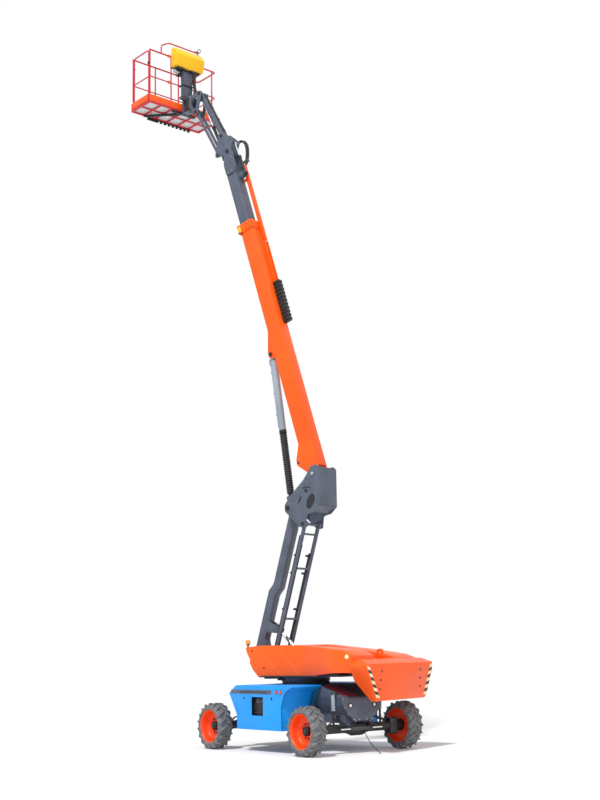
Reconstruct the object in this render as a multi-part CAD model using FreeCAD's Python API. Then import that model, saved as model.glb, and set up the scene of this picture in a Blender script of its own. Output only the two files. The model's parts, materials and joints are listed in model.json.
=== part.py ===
"""Articulating boom lift with a telescopic main boom, a jib and a work platform.

Millimetres. The origin is on the floor under the slewing centre, +X runs along the
chassis towards its steered axle and +Z is up.  Everything above the slew ring is
modelled in a side plane: x towards the counterweight, y across, z up.  The booms are
modelled lowered and then raised about their own pins, and at the end the whole upper
structure is slewed about the origin.
"""
import FreeCAD, Part
import math
import os

V = FreeCAD.Vector
ORIGIN = V(0, 0, 0)
UP = V(0, 0, 1)
ACROSS = V(0, 1, 0)

# ---------------------------------------------------------------- driving dimensions
# rest attitude, degrees
SLEW_REST = 16.0
RISER_REST = 72.5
BOOM_REST = 73.6
JIB_REST = 62.0
PLATFORM_REST = -12.0

# wheels and chassis
WHEEL_DIAMETER = 838.0
TYRE_WIDTH = 310.0
RIM_DIAMETER = 590.0
OVERALL_WIDTH = 2490.0
WHEELBASE = 2800.0
WHEEL_Y = (OVERALL_WIDTH - TYRE_WIDTH) / 2
WHEEL_Z = WHEEL_DIAMETER / 2
AXLE_X = WHEELBASE / 2
KINGPIN_Y = 880.0
HUB_RADIUS = 80.0
HUB_DRUM_RADIUS = 104.0
HUB_INNER_Y = 912.0
KINGPIN_RADIUS = 28.0
FRAME_BOTTOM = 510.0
GIRDER_END = 1470.0
CHASSIS_TOP = 1130.0
LUG_X, LUG_Y, LUG_Z = 1510.0, 250.0, 460.0
LUG_THICKNESS = 20.0
LUG_HOLE_RADIUS = 20.0
SLEW_RING_TOP = 1210.0
TURNTABLE_Z = 1290.0
DECK_Z = 1320.0

# pins of the upper structure at rest, as (x, z) in the side plane before slewing
RISER_PIN = (-960.0, 1740.0)
LINK_OFFSET = (340.0, -320.0)
RISER_LENGTH = 2790.0
LINK_Y = 215.0
LINK_TIES = (975.0, 1940.0)
LINK_TIE_BELOW_TOP = 190.0
BOOM_PIN_OFFSET = (590.0, 600.0)
LIFT_FOOT_OFFSET = (-129.0, 219.0)
RISER_RAM_FOOT = (200.0, 1420.0)
RISER_RAM_EYE = (500.0, -228.0)

# main boom, measured along the boom from its foot pin and up from its centre line
BOOM_LENGTH = 5600.0
BOOM_DEPTH = 380.0
BOOM_WIDTH = 380.0
LIFT_RAM_PIN = (2700.0, -340.0)
JIB_MOUNT_PIN = (7320.0, -30.0)
LEVEL_RAM_FOOT = (6720.0, 172.0)
LEVEL_RAM_EYE = (93.0, 199.0)
FLY_OUT = 950.0
FLY_MORE = 450.0

# jib, measured from the levelled bracket's pin and along the jib
JIB_PIN_UPPER = (-180.0, 400.0)
JIB_LINK_OFFSET = (-100.0, -400.0)
JIB_LENGTH = 1300.0
JIB_RAM_FOOT = (-235.0, 130.0)
JIB_RAM_EYE = (1050.0, -70.0)

# platform
ROTATOR_X = -350.0
ROTATOR_PIN = 25.0
PLATFORM_EDGE = 170.0
PLATFORM_DEPTH = 760.0
PLATFORM_WIDTH = 1830.0
RAIL_HEIGHT = 1130.0
RAIL_RADIUS = 17.0
POST_RADIUS = 15.0
GATE_HINGE_IN = 75.0
GATE_LINE_IN = 30.0

# rods and running fits
RISER_ROD_RADIUS = 32.0
LIFT_ROD_RADIUS = 46.0
LEVEL_ROD_RADIUS = 16.0
JIB_ROD_RADIUS = 20.0
RUN_GAP = 0.08
PIN_GAP = 0.1
SIDE_GAP = 5.0


# ---------------------------------------------------------------- geometry helpers
def polar(length, degrees):
    """Return the (x, z) components of a length at an angle from +x."""
    angle = math.radians(degrees)
    return length * math.cos(angle), length * math.sin(angle)


def add(a, b):
    return a[0] + b[0], a[1] + b[1]


def box(x0, x1, y0, y1, z0, z1):
    return Part.makeBox(x1 - x0, y1 - y0, z1 - z0, V(x0, y0, z0))


def rod(start, end, radius):
    """A round bar between two points."""
    axis = end - start
    return Part.makeCylinder(radius, axis.Length, start, axis)


def bar(start, end, radius, y=0.0):
    """A round bar in the side plane between two (x, z) points."""
    return rod(V(start[0], y, start[1]), V(end[0], y, end[1]), radius)


def pin(centre, radius, half_width):
    """A pin across the machine, through an (x, z) point."""
    return rod(V(centre[0], -half_width, centre[1]), V(centre[0], half_width, centre[1]), radius)


def stub(centre, radius, y_inner, y_outer, side):
    """A short pin on one side of the machine."""
    return rod(V(centre[0], side * y_inner, centre[1]), V(centre[0], side * y_outer, centre[1]), radius)


def tube(start, end, outer, inner):
    return rod(start, end, outer).cut(rod(start, end, inner))


def fuse(shapes):
    """Join shapes into one, with merged faces where that leaves a valid solid."""
    whole = shapes[0]
    if len(shapes) > 1:
        whole = whole.multiFuse(shapes[1:])
    merged = whole.removeSplitter()
    return merged if merged.isValid() else whole


def rounded(points):
    """A closed flat wire through (a, b, radius) corners, each rounded with an arc."""
    count = len(points)
    ends = []
    for index in range(count):
        before = V(points[index - 1][0], points[index - 1][1], 0)
        here = V(points[index][0], points[index][1], 0)
        after = V(points[(index + 1) % count][0], points[(index + 1) % count][1], 0)
        radius = points[index][2] if len(points[index]) > 2 else 0.0
        to_before = (before - here).normalize()
        to_after = (after - here).normalize()
        half = to_before.getAngle(to_after) / 2
        if radius <= 0:
            ends.append((here, None, here))
            continue
        reach = radius / math.tan(half)
        middle = (to_before + to_after).normalize() * (radius / math.sin(half) - radius)
        ends.append((here + to_before * reach, here + middle, here + to_after * reach))
    edges = []
    for index in range(count):
        start, middle, end = ends[index]
        if middle is not None:
            edges.append(Part.Arc(start, middle, end).toShape())
        following = ends[(index + 1) % count][0]
        if (following - end).Length > 1e-6:
            edges.append(Part.makeLine(end, following))
    return Part.Wire(edges)


def bent_line(points, bend):
    """A wire through 3D points, its inner corners rounded to the bend radius."""
    edges = []
    start = points[0]
    for index in range(1, len(points) - 1):
        here = points[index]
        back = (points[index - 1] - here).normalize()
        forth = (points[index + 1] - here).normalize()
        half = back.getAngle(forth) / 2
        reach = bend / math.tan(half)
        middle = here + (back + forth).normalize() * (bend / math.sin(half) - bend)
        edges.append(Part.makeLine(start, here + back * reach))
        edges.append(Part.Arc(here + back * reach, middle, here + forth * reach).toShape())
        start = here + forth * reach
    edges.append(Part.makeLine(start, points[-1]))
    return Part.Wire(edges)


def pipe(points, radius, bend):
    """A round tube or hose that follows a bent line."""
    path = bent_line(points, bend)
    section = Part.Wire([Part.makeCircle(radius, points[0], points[1] - points[0])])
    return path.makePipeShell([section], True, False)


def side_plate(points, y0, y1):
    """A plate whose outline is drawn in the side plane, from y0 to y1."""
    face = Part.Face(rounded(points))
    face.rotate(ORIGIN, V(1, 0, 0), 90)
    face.translate(V(0, y1, 0))
    return face.extrude(V(0, y0 - y1, 0))


def plan_plate(points, z0, z1):
    """A plate whose outline is drawn in plan, from z0 to z1."""
    face = Part.Face(rounded(points))
    face.translate(V(0, 0, z0))
    return face.extrude(V(0, 0, z1 - z0))


def cross_plate(points, x0, x1):
    """A plate whose outline is drawn across the machine as (y, z), from x0 to x1."""
    face = Part.Face(rounded(points))
    face.rotate(ORIGIN, V(1, 0, 0), 90)
    face.rotate(ORIGIN, UP, 90)
    face.translate(V(x0, 0, 0))
    return face.extrude(V(x1 - x0, 0, 0))


def both_sides(make):
    """Call make(side) for side = -1 and +1 and return both shapes."""
    return [make(-1), make(1)]


def slab(y_inner, y_outer, side):
    """The y limits of a plate between two distances from the middle, on one side."""
    low, high = sorted((side * y_inner, side * y_outer))
    return low, high


def raised(shape, pivot, degrees):
    """Turn a shape about a pin across the machine; positive lifts what points to -x."""
    turned = shape.copy()
    turned.rotate(V(pivot[0], 0, pivot[1]), ACROSS, degrees)
    return turned


def slewed(shape):
    turned = shape.copy()
    turned.rotate(ORIGIN, UP, SLEW_REST)
    return turned


# ---------------------------------------------------------------- where the pins are
LINK_PIN = add(RISER_PIN, LINK_OFFSET)
RISER_TOP = add(RISER_PIN, polar(RISER_LENGTH, RISER_REST))
LINK_TOP = add(RISER_TOP, LINK_OFFSET)
BOOM_PIN = add(RISER_TOP, BOOM_PIN_OFFSET)
LIFT_FOOT = add(RISER_TOP, LIFT_FOOT_OFFSET)


def on_boom(along, above):
    """A point of the raised boom, from its distance along and above the centre line."""
    angle = math.radians(BOOM_REST)
    return (BOOM_PIN[0] - along * math.cos(angle) + above * math.sin(angle),
            BOOM_PIN[1] + along * math.sin(angle) + above * math.cos(angle))


MOUNT_PIN = on_boom(*JIB_MOUNT_PIN)
JIB_UPPER = add(MOUNT_PIN, JIB_PIN_UPPER)
JIB_LOWER = add(JIB_UPPER, JIB_LINK_OFFSET)
JIB_VECTOR = (-polar(JIB_LENGTH, JIB_REST)[0], polar(JIB_LENGTH, JIB_REST)[1])
HEAD_UPPER = add(JIB_UPPER, JIB_VECTOR)
HEAD_LOWER = add(JIB_LOWER, JIB_VECTOR)
ROTATOR = add(HEAD_UPPER, (ROTATOR_X, 0))
PLATFORM_Z = HEAD_UPPER[1] - 228.0


def on_riser(along, above):
    """A point of the raised riser, from its distance along and above its pin line."""
    angle = math.radians(RISER_REST)
    return (RISER_PIN[0] + along * math.cos(angle) - above * math.sin(angle),
            RISER_PIN[1] + along * math.sin(angle) + above * math.cos(angle))


def on_jib(along, above):
    """A point of the raised jib, from its distance along and above its pin line."""
    angle = math.radians(JIB_REST)
    return (JIB_UPPER[0] - along * math.cos(angle) + above * math.sin(angle),
            JIB_UPPER[1] + along * math.sin(angle) + above * math.cos(angle))


# ---------------------------------------------------------------- wheels
def revolve_profile(points):
    """Revolve (axial, radius) corners about the Y axis."""
    face = Part.Face(rounded(points))
    face.rotate(ORIGIN, V(0, 0, 1), 90)
    face.rotate(ORIGIN, V(0, 1, 0), 90)
    return face.revolve(ORIGIN, ACROSS, 360)


def tyre():
    """A wide lugged tyre, centred on the origin with its axle along Y."""
    half = TYRE_WIDTH / 2
    bead = RIM_DIAMETER / 2
    crown = WHEEL_DIAMETER / 2
    profile = [(-half + 30, bead), (half - 30, bead), (half, bead + 45, 20),
               (half, crown - 45, 30), (half - 35, crown, 15), (-half + 35, crown, 15),
               (-half, crown - 45, 30), (-half, bead + 45, 20)]
    return revolve_profile(profile)


def rim(outward):
    """A deep dished rim; outward is the Y direction of its open side."""
    half = TYRE_WIDTH / 2
    bead = RIM_DIAMETER / 2
    well = bead - 22
    disc = -35.0
    profile = [(-half + 30, bead), (-half + 30, well), (disc - 8, well - 12), (disc - 8, HUB_RADIUS + PIN_GAP),
               (disc + 8, HUB_RADIUS + PIN_GAP), (disc + 8, well - 40, 20), (disc + 60, well - 18),
               (half - 34, well - 6), (half - 26, bead)]
    shape = revolve_profile(profile)
    if outward < 0:
        shape.rotate(ORIGIN, UP, 180)
    return shape


def wheel_place(shape, front, side):
    moved = shape.copy()
    moved.translate(V(front * AXLE_X, side * WHEEL_Y, WHEEL_Z))
    return moved


def hub(front, side):
    """The drive hub: a black drum behind the rim's disc and its cap through it."""
    disc_y = side * (WHEEL_Y - 35.0)
    centre = V(front * AXLE_X, 0, WHEEL_Z)
    inner = centre + V(0, side * HUB_INNER_Y, 0)
    face = centre + V(0, disc_y - side * 9, 0)
    cap = rod(face, centre + V(0, disc_y + side * 55, 0), HUB_RADIUS)
    drum = rod(inner, face, HUB_DRUM_RADIUS)
    return [drum, cap]


# ---------------------------------------------------------------- chassis
def tow_lug(front, side):
    """A tongue under the end of the frame whose turned-down lug has a shackle hole."""
    low, high = slab(LUG_Y - 35, LUG_Y + 35, side)
    face = LUG_X + LUG_THICKNESS / 2
    tongue = box(1280, face, low, high, FRAME_BOTTOM - LUG_THICKNESS, FRAME_BOTTOM)
    drop = cross_plate([(low, FRAME_BOTTOM), (low, LUG_Z - 38, 30), (high, LUG_Z - 38, 30), (high, FRAME_BOTTOM)],
                       face - LUG_THICKNESS, face)
    hole = rod(V(face - 40, side * LUG_Y, LUG_Z), V(face + 20, side * LUG_Y, LUG_Z), LUG_HOLE_RADIUS)
    shape = fuse([tongue, drop]).cut(hole)
    if front < 0:
        shape.rotate(ORIGIN, UP, 180)
    return shape


def chassis_frame():
    """Central box frame, its raised middle, the fixed half of the slew ring and tow lugs."""
    girder = box(-GIRDER_END, GIRDER_END, -330, 330, FRAME_BOTTOM, 860)
    middle = box(-775, 775, -475, 475, 600, 1110)
    deck = rod(V(0, 0, 1110), V(0, 0, CHASSIS_TOP), 430)
    ring = rod(V(0, 0, CHASSIS_TOP), V(0, 0, SLEW_RING_TOP), 430)
    lugs = [tow_lug(front, side) for front in (-1, 1) for side in (-1, 1)]
    return fuse([girder, middle, deck, ring] + lugs)


def side_cover(side):
    """A hollow blue side cover whose top reaches out over the wheels."""
    bottom, top = 390.0, 1118.0
    outer, inner = 1100.0, 475.0
    outline = [(-740, bottom, 25), (740, bottom, 25), (760, 900, 90), (1010, 950, 40), (1010, top, 90),
               (-930, top, 90), (-930, 950, 40), (-760, 900, 90)]
    skin = side_plate(outline, *slab(inner, outer, side))
    hollow = side_plate([(-715, bottom - 10), (715, bottom - 10), (725, top - 30, 40), (-725, top - 30, 40)],
                        *slab(inner - 10, outer - 25, side))
    return skin.cut(hollow)


def nose(front):
    """A dark sloping hood over an axle, with a tapered front face."""
    outline = [(775, 870), (1200, 600), (1560, 530, 30), (1600, 560, 20), (1600, 930, 40), (1500, 985, 60),
               (960, 1110, 60), (775, 1110)]
    shape = side_plate(outline, -500, 500)
    sides = cross_plate([(-210, 520), (210, 520), (470, 760, 60), (470, 960, 80), (400, 1200), (-400, 1200),
                         (-470, 960, 80), (-470, 760, 60)], 700, 1700)
    shape = shape.common(sides)
    shape = shape.cut(box(700, GIRDER_END, -330, 330, FRAME_BOTTOM - 40, 860))
    if front < 0:
        shape.rotate(ORIGIN, UP, 180)
    return shape


def axle(front):
    """The axle beam; the steered one ends in kingpin yokes."""
    x = front * AXLE_X
    if front > 0:
        beam = box(x - 70, x + 70, -780, 780, WHEEL_Z - 60, WHEEL_Z + 60)
        yokes = []
        for side in (-1, 1):
            low, high = slab(770, 905, side)
            yokes.append(box(x - 60, x + 60, low, high, WHEEL_Z + 110, WHEEL_Z + 140))
            yokes.append(box(x - 60, x + 60, low, high, WHEEL_Z - 140, WHEEL_Z - 110))
            low, high = slab(740, 790, side)
            yokes.append(box(x - 60, x + 60, low, high, WHEEL_Z - 140, WHEEL_Z + 140))
        saddle = box(x - 60, x + 60, -200, 200, WHEEL_Z + 50, FRAME_BOTTOM)
        shape = fuse([beam, saddle] + yokes)
        for side in (-1, 1):
            shape = shape.cut(kingpin(side, KINGPIN_RADIUS + PIN_GAP, 150))
        return shape
    beam = rod(V(x, -HUB_INNER_Y, WHEEL_Z), V(x, HUB_INNER_Y, WHEEL_Z), 70)
    saddle = box(x - 60, x + 60, -200, 200, WHEEL_Z, FRAME_BOTTOM)
    return fuse([beam, saddle] + hub(front, -1) + hub(front, 1))


def kingpin(side, radius, half_height):
    foot = V(AXLE_X, side * KINGPIN_Y, WHEEL_Z - half_height)
    return Part.makeCylinder(radius, 2 * half_height, foot)


def knuckle(side):
    """The steered knuckle between its yoke's ears, with the drive hub on it."""
    body = kingpin(side, 45, 105)
    return fuse([body, kingpin(side, KINGPIN_RADIUS, 140)] + hub(1, side))


def ground_strap():
    """A thin rubber strap that hangs from the front axle down to the floor."""
    return box(AXLE_X + 70, AXLE_X + 76, -110, -80, 6, WHEEL_Z)


# ---------------------------------------------------------------- turntable
def turntable_frame():
    """Base plate, upper slew ring and the two side plates that carry the riser."""
    ring = rod(V(0, 0, SLEW_RING_TOP + RUN_GAP), V(0, 0, TURNTABLE_Z), 450)
    base = fuse([box(-700, 1740, -345, 345, TURNTABLE_Z, DECK_Z), box(100, 1200, -600, 600, TURNTABLE_Z, DECK_Z)])
    outline = [(-720, TURNTABLE_Z + 20), (1500, TURNTABLE_Z + 20), (1500, 1440, 60), (300, 1480, 200),
               (-500, 1640, 120), (-870, 1850, 40), (-1060, 1850, 70), (-1060, 1680, 70)]
    plates = both_sides(lambda side: side_plate(outline, *slab(325, 345, side)))
    pins = [pin(RISER_PIN, 35, 345), pin(LINK_PIN, 28, 345), pin(RISER_RAM_FOOT, 30, 90)]
    ears = both_sides(lambda side: side_plate(
        [(RISER_RAM_FOOT[0] - 120, TURNTABLE_Z + 20), (RISER_RAM_FOOT[0] + 120, TURNTABLE_Z + 20),
         (RISER_RAM_FOOT[0] + 50, RISER_RAM_FOOT[1] + 50, 40), (RISER_RAM_FOOT[0] - 50, RISER_RAM_FOOT[1] + 50, 40)],
        *slab(65, 85, side)))
    return fuse([ring, base] + plates + pins + ears)


def turntable_cover(side):
    """A hollow orange cover along one side of the turntable."""
    outline = [(-640, 1300), (700, 1300, 300), (1360, 1370), (1730, 1370), (1730, 1690, 60), (900, 1815, 400),
               (200, 1860, 300), (-600, 1865, 120), (-1040, 1830, 30), (-880, 1640, 80)]
    plan = [(-1060, side * 345), (1740, side * 345), (1740, side * 1040), (1300, side * 1000, 300),
            (500, side * 680, 400), (-1060, side * 540)]
    shape = side_plate(outline, *slab(345, 1100, side))
    shape = shape.common(plan_plate(plan, 1200, 2000))
    inside = [(-600, 1335), (1690, 1335), (1690, 1640, 60), (200, 1820, 200), (-560, 1820, 120), (-760, 1660, 60)]
    plan_inside = [(-1000, side * 365), (1690, side * 365), (1690, side * 990), (1310, side * 955, 260),
                   (520, side * 640, 400), (-1000, side * 505)]
    hollow = side_plate(inside, *slab(335, 1090, side)).common(plan_plate(plan_inside, 1200, 2000))
    below = side_plate([(-560, 1290), (1690, 1290), (1690, 1336), (-560, 1336)], *slab(335, 1090, side))
    plan_below = [(-1000, side * 335), (1690, side * 335), (1690, side * 990), (1310, side * 955, 260),
                  (520, side * 640, 400), (-1000, side * 505)]
    return shape.cut(hollow).cut(below.common(plan_plate(plan_below, 1200, 2000)))


def engine_block():
    """The engine and pump, as one plain block under the near cover."""
    return box(150, 1150, -590, -375, DECK_Z, 1640)


def hydraulic_tank():
    return box(150, 1050, 375, 590, DECK_Z, 1640)


def counterweight():
    """A cast counterweight across the tail, narrower below and chamfered."""
    outline = [(1740, 900, 40), (1930, 880, 40), (2060, 960, 60), (2080, 1490, 40), (1740, 1560, 20)]
    shape = side_plate(outline, -1120, 1120)
    face = cross_plate([(-890, 870, 40), (890, 870, 40), (1010, 1100, 60), (1100, 1500, 30), (1060, 1570),
                        (-1060, 1570), (-1100, 1500, 30), (-1010, 1100, 60)], 1600, 2200)
    plan = [(1740, -1100), (1900, -1100, 60), (2100, -1000, 40), (2100, 1000, 40), (1900, 1100, 60), (1740, 1100)]
    return shape.common(face).common(plan_plate(plan, 800, 1700))


def beacon():
    base = V(-960, -450, 1820)
    shape = fuse([rod(base, base + V(0, 0, 50), 28), rod(base + V(0, 0, 50), base + V(0, 0, 150), 38)])
    return shape.cut(turntable_cover(-1))


# ---------------------------------------------------------------- riser
def riser_arm():
    """The main riser arm, dog-legged half way up; drawn lowered, its pin line along x."""
    x0, z0 = RISER_PIN
    top = RISER_LENGTH
    outline = [(x0 - 85, z0 + 85, 80), (x0 - 85, z0 - 110, 80), (x0 + 1180, z0 - 110, 100),
               (x0 + 1330, z0 - 205, 100), (x0 + top - 180, z0 - 205, 120), (x0 + top + 95, z0 - 60, 90),
               (x0 + top + 95, z0 + 80, 65), (x0 + top - 120, z0 + 45, 60), (x0 + 1400, z0 + 25, 60),
               (x0 + 1200, z0 + 85, 60)]
    arm = side_plate(outline, -110, 110)
    bosses = [pin(RISER_PIN, 70, 319), pin((x0 + top, z0), 70, 254)]
    ears = both_sides(lambda side: side_plate(
        [(x0 + 390, z0 - 105), (x0 + 610, z0 - 105), (x0 + 550, z0 - 278, 45), (x0 + 450, z0 - 278, 45)],
        *slab(65, 85, side)))
    shape = fuse([arm] + bosses + ears)
    shape = shape.cut(pin(RISER_PIN, 35 + PIN_GAP, 400)).cut(pin((x0 + top, z0), 35 + PIN_GAP, 400))
    return raised(shape, RISER_PIN, -RISER_REST)


def riser_links():
    """The two tie tubes beside the arm, joined by short cross bars."""
    x0, z0 = LINK_PIN
    pieces = []
    for side in (-1, 1):
        y = side * LINK_Y
        pieces.append(bar((x0 + 40, z0), (x0 + RISER_LENGTH - 40, z0), 38, y))
        for x in (x0, x0 + RISER_LENGTH):
            pieces.append(rod(V(x, y - 35, z0), V(x, y + 35, z0), 60))
    for along in LINK_TIES + (RISER_LENGTH - LINK_TIE_BELOW_TOP,):
        pieces.append(pin((x0 + along, z0), 20, LINK_Y))
    shape = fuse(pieces)
    for x in (x0, x0 + RISER_LENGTH):
        shape = shape.cut(pin((x, z0), 28 + PIN_GAP, 300))
    return raised(shape, LINK_PIN, -RISER_REST)


def ram_barrel(start, end, length, radius, bore, eye_bore, rod_radius):
    """A cylinder barrel from its eye at start towards end, with a gland that fits its rod."""
    a = V(start[0], 0, start[1])
    b = V(end[0], 0, end[1])
    along = (b - a).normalize()
    floor = eye_bore + 52
    body = rod(a + along * (eye_bore + 10), a + along * length, radius)
    gland = rod(a + along * (length - 60), a + along * length, radius + 8)
    eye = rod(a - V(0, 38, 0), a + V(0, 38, 0), eye_bore + 22)
    shape = fuse([body, gland, eye])
    shape = shape.cut(rod(a + along * floor, a + along * (length - 60), bore))
    shape = shape.cut(rod(a + along * floor, a + along * (length + 10), rod_radius + RUN_GAP))
    return shape.cut(rod(a - V(0, 60, 0), a + V(0, 60, 0), eye_bore + PIN_GAP))


def ram_rod(start, end, length, radius, eye_radius):
    """A cylinder rod from its eye at start towards end."""
    a = V(start[0], 0, start[1])
    b = V(end[0], 0, end[1])
    along = (b - a).normalize()
    shank = rod(a + along * (eye_radius * 0.6), a + along * length, radius)
    eye = rod(a - V(0, 34, 0), a + V(0, 34, 0), eye_radius)
    hole = rod(a - V(0, 60, 0), a + V(0, 60, 0), eye_radius * 0.5)
    return fuse([shank, eye]).cut(hole)


RISER_RAM_TOP = on_riser(*RISER_RAM_EYE)
LIFT_TOP = on_boom(*LIFT_RAM_PIN)
LEVEL_FOOT = on_boom(*LEVEL_RAM_FOOT)
LEVEL_EYE = add(MOUNT_PIN, LEVEL_RAM_EYE)
JIB_RAM_BASE = add(MOUNT_PIN, JIB_RAM_FOOT)
JIB_RAM_TOP = on_jib(*JIB_RAM_EYE)


def riser_ram_barrel():
    return ram_barrel(RISER_RAM_FOOT, RISER_RAM_TOP, 560, 55, 45, 30, RISER_ROD_RADIUS)


def riser_ram_rod():
    return ram_rod(RISER_RAM_TOP, RISER_RAM_FOOT, 570, RISER_ROD_RADIUS, 45)


def upright():
    """The upright between the riser and the main boom: two side plates and a back."""
    qx, qz = RISER_TOP
    ax, az = BOOM_PIN
    lx, lz = LINK_TOP
    outline = [(qx - 75, qz - 60, 50), (lx - 70, lz - 65, 40), (lx + 60, lz - 65, 40), (lx + 90, lz + 170, 60),
               (ax + 10, az - 720, 60), (ax + 145, az - 600, 40), (ax + 150, az + 110, 60), (ax + 90, az + 165, 60),
               (ax - 30, az + 150, 60), (ax - 220, az - 100, 60), (qx + 60, qz + 230, 100), (qx - 80, qz + 60, 60)]
    plates = both_sides(lambda side: side_plate(outline, *slab(260, 282, side)))
    back = side_plate([(ax + 128, az - 590), (ax + 148, az - 590), (ax + 148, az + 120), (ax + 128, az + 120)],
                      -270, 270)
    under = side_plate([(ax - 60, az - 700), (ax - 45, az - 715), (ax + 148, az - 600), (ax + 128, az - 580)],
                       -270, 270)
    fx, fz = LIFT_FOOT
    tx, tz = qx + 100, qz + 190
    front = pin((tx, tz), 38, 270)
    ears = both_sides(lambda side: side_plate(
        [(fx - 48, fz - 48, 45), (tx, tz - 38, 20), (tx + 38, tz, 20), (tx, tz + 38, 20), (fx - 48, fz + 48, 45)],
        *slab(62, 84, side)))
    pins = [pin(RISER_TOP, 35, 300), pin(LINK_TOP, 28, 300), pin(BOOM_PIN, 40, 300)]
    shape = fuse(plates + [back, under, front] + ears + pins)
    hole = rod(V(ax - 170, -300, az - 310), V(ax - 170, 300, az - 310), 32)
    oval = side_plate([(ax - 185, az - 640, 40), (ax - 60, az - 640, 50), (ax + 50, az - 400, 40),
                       (ax - 75, az - 400, 50)], -300, 300)
    return shape.cut(hole).cut(oval)


# ---------------------------------------------------------------- main boom
def boom_base():
    """The outer boom box with its foot plates and cylinder bracket, drawn lowered."""
    x0, z0 = BOOM_PIN
    deep, wide = BOOM_DEPTH / 2, BOOM_WIDTH / 2
    shell = box(x0 - BOOM_LENGTH, x0 - 170, -wide, wide, z0 - deep, z0 + deep)
    hollow = box(x0 - BOOM_LENGTH - 10, x0 - 1000, -wide + 12, wide - 12, z0 - deep + 12, z0 + deep - 12)
    foot = both_sides(lambda side: side_plate(
        [(x0 + 100, z0 + 100, 90), (x0 - 300, z0 + deep), (x0 - 700, z0 + deep), (x0 - 700, z0 - deep),
         (x0 - 340, z0 - 350, 40), (x0 - 430, z0 - 350, 40), (x0 - 60, z0 - 170, 90), (x0 + 100, z0 - 100, 90)][:1]
        + [(x0 - 300, z0 + deep), (x0 - 700, z0 + deep), (x0 - 700, z0 - deep), (x0 - 420, z0 - 370, 40),
           (x0 - 320, z0 - 370, 40), (x0 - 60, z0 - 150, 60), (x0 + 100, z0 - 90, 80)],
        *slab(160, wide + 6, side)))
    bx, bz = x0 - LIFT_RAM_PIN[0], z0 + LIFT_RAM_PIN[1]
    bracket = both_sides(lambda side: side_plate(
        [(bx + 60, bz - 60, 40), (bx + 120, z0 - deep + 5), (bx - 620, z0 - deep + 5), (bx - 60, bz - 60, 40)],
        *slab(62, 84, side)))
    shape = fuse([shell] + foot).cut(hollow)
    shape = fuse([shape] + bracket + [pin((bx, bz), 35, 100)])
    shape = shape.cut(pin(BOOM_PIN, 40 + PIN_GAP, 300))
    return raised(shape, BOOM_PIN, BOOM_REST)


def boom_collar():
    """The thickened mouth of the outer boom, with the fly's wear pads inside."""
    x0, z0 = BOOM_PIN
    mouth = x0 - BOOM_LENGTH
    deep, wide = BOOM_DEPTH / 2, BOOM_WIDTH / 2
    ring = box(mouth, mouth + 190, -wide - 22, wide + 22, z0 - deep - 40, z0 + deep + 16)
    ring = ring.cut(box(mouth - 1, mouth + 191, -wide, wide, z0 - deep, z0 + deep))
    return raised(ring, BOOM_PIN, BOOM_REST)


def wear_pads():
    """Sliding pads between the outer boom's mouth and the fly boom."""
    x0, z0 = BOOM_PIN
    mouth = x0 - BOOM_LENGTH
    inner_y, inner_z = BOOM_WIDTH / 2 - 12, BOOM_DEPTH / 2 - 12
    pads = []
    for side in (-1, 1):
        low, high = slab(130.5, inner_y, side)
        pads.append(box(mouth + 10, mouth + 130, low, high, z0 - 120, z0 + 60))
        low, high = slab(40, 110, side)
        pads.append(box(mouth + 10, mouth + 130, low, high, z0 - inner_z, z0 - 165.5))
    pads.append(box(mouth + 10, mouth + 130, -60, 20, z0 + 105.5, z0 + inner_z))
    return raised(fuse(pads), BOOM_PIN, BOOM_REST)


def energy_chain():
    """The folded link chain in its guide on the boom's back."""
    x0, z0 = BOOM_PIN
    top = z0 + BOOM_DEPTH / 2
    links = [box(x0 - 4150, x0 - 3230, 30, 130, top, top + 105)]
    return raised(fuse(links), BOOM_PIN, BOOM_REST)


def lift_ram_barrel():
    return ram_barrel(LIFT_TOP, LIFT_FOOT, 1600, 58, 50, 35, LIFT_ROD_RADIUS)


def lift_ram_rod():
    return ram_rod(LIFT_FOOT, LIFT_TOP, 1565, LIFT_ROD_RADIUS, 50)


# ---------------------------------------------------------------- fly boom
def fly_boom():
    """The sliding inner boom with its fork head, drawn lowered."""
    x0, z0 = BOOM_PIN
    tip = x0 - JIB_MOUNT_PIN[0]
    tip_z = z0 + JIB_MOUNT_PIN[1]
    tube_end = tip + 330
    inner_end = x0 - 3950
    shell = box(tube_end, inner_end, -130, 130, z0 - 165, z0 + 105)
    hollow = box(tube_end - 10, inner_end + 10, -120, 120, z0 - 155, z0 + 95)
    cheeks = both_sides(lambda side: side_plate(
        [(tip - 80, tip_z - 75, 70), (tip + 300, tip_z - 190, 80), (tip + 620, z0 - 165, 60), (tip + 620, z0 + 105, 60),
         (tip + 100, z0 + 105, 60), (tip - 80, tip_z + 75, 70)], *slab(130, 150, side)))
    lx, lz = x0 - LEVEL_RAM_FOOT[0], z0 + LEVEL_RAM_FOOT[1]
    ears = both_sides(lambda side: side_plate(
        [(lx - 70, z0 + 95), (lx + 90, z0 + 95), (lx + 30, lz + 35, 30), (lx - 30, lz + 35, 30)],
        *slab(42, 60, side)))
    pins = [pin((tip, tip_z), 30, 165), pin((lx, lz), 18, 70)]
    shape = fuse([shell.cut(hollow)] + cheeks + ears + pins)
    return raised(shape, BOOM_PIN, BOOM_REST)


def hose_channel():
    """The slim orange channel that carries the hoses along the fly's back."""
    x0, z0 = BOOM_PIN
    channel = box(x0 - 6950, x0 - 4050, 64, 112, z0 + 105, z0 + 150)
    return raised(channel, BOOM_PIN, BOOM_REST)


def level_ram_barrel():
    return ram_barrel(LEVEL_FOOT, LEVEL_EYE, 430, 30, 24, 18, LEVEL_ROD_RADIUS)


def level_ram_rod():
    return ram_rod(LEVEL_EYE, LEVEL_FOOT, 395, LEVEL_ROD_RADIUS, 30)


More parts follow.
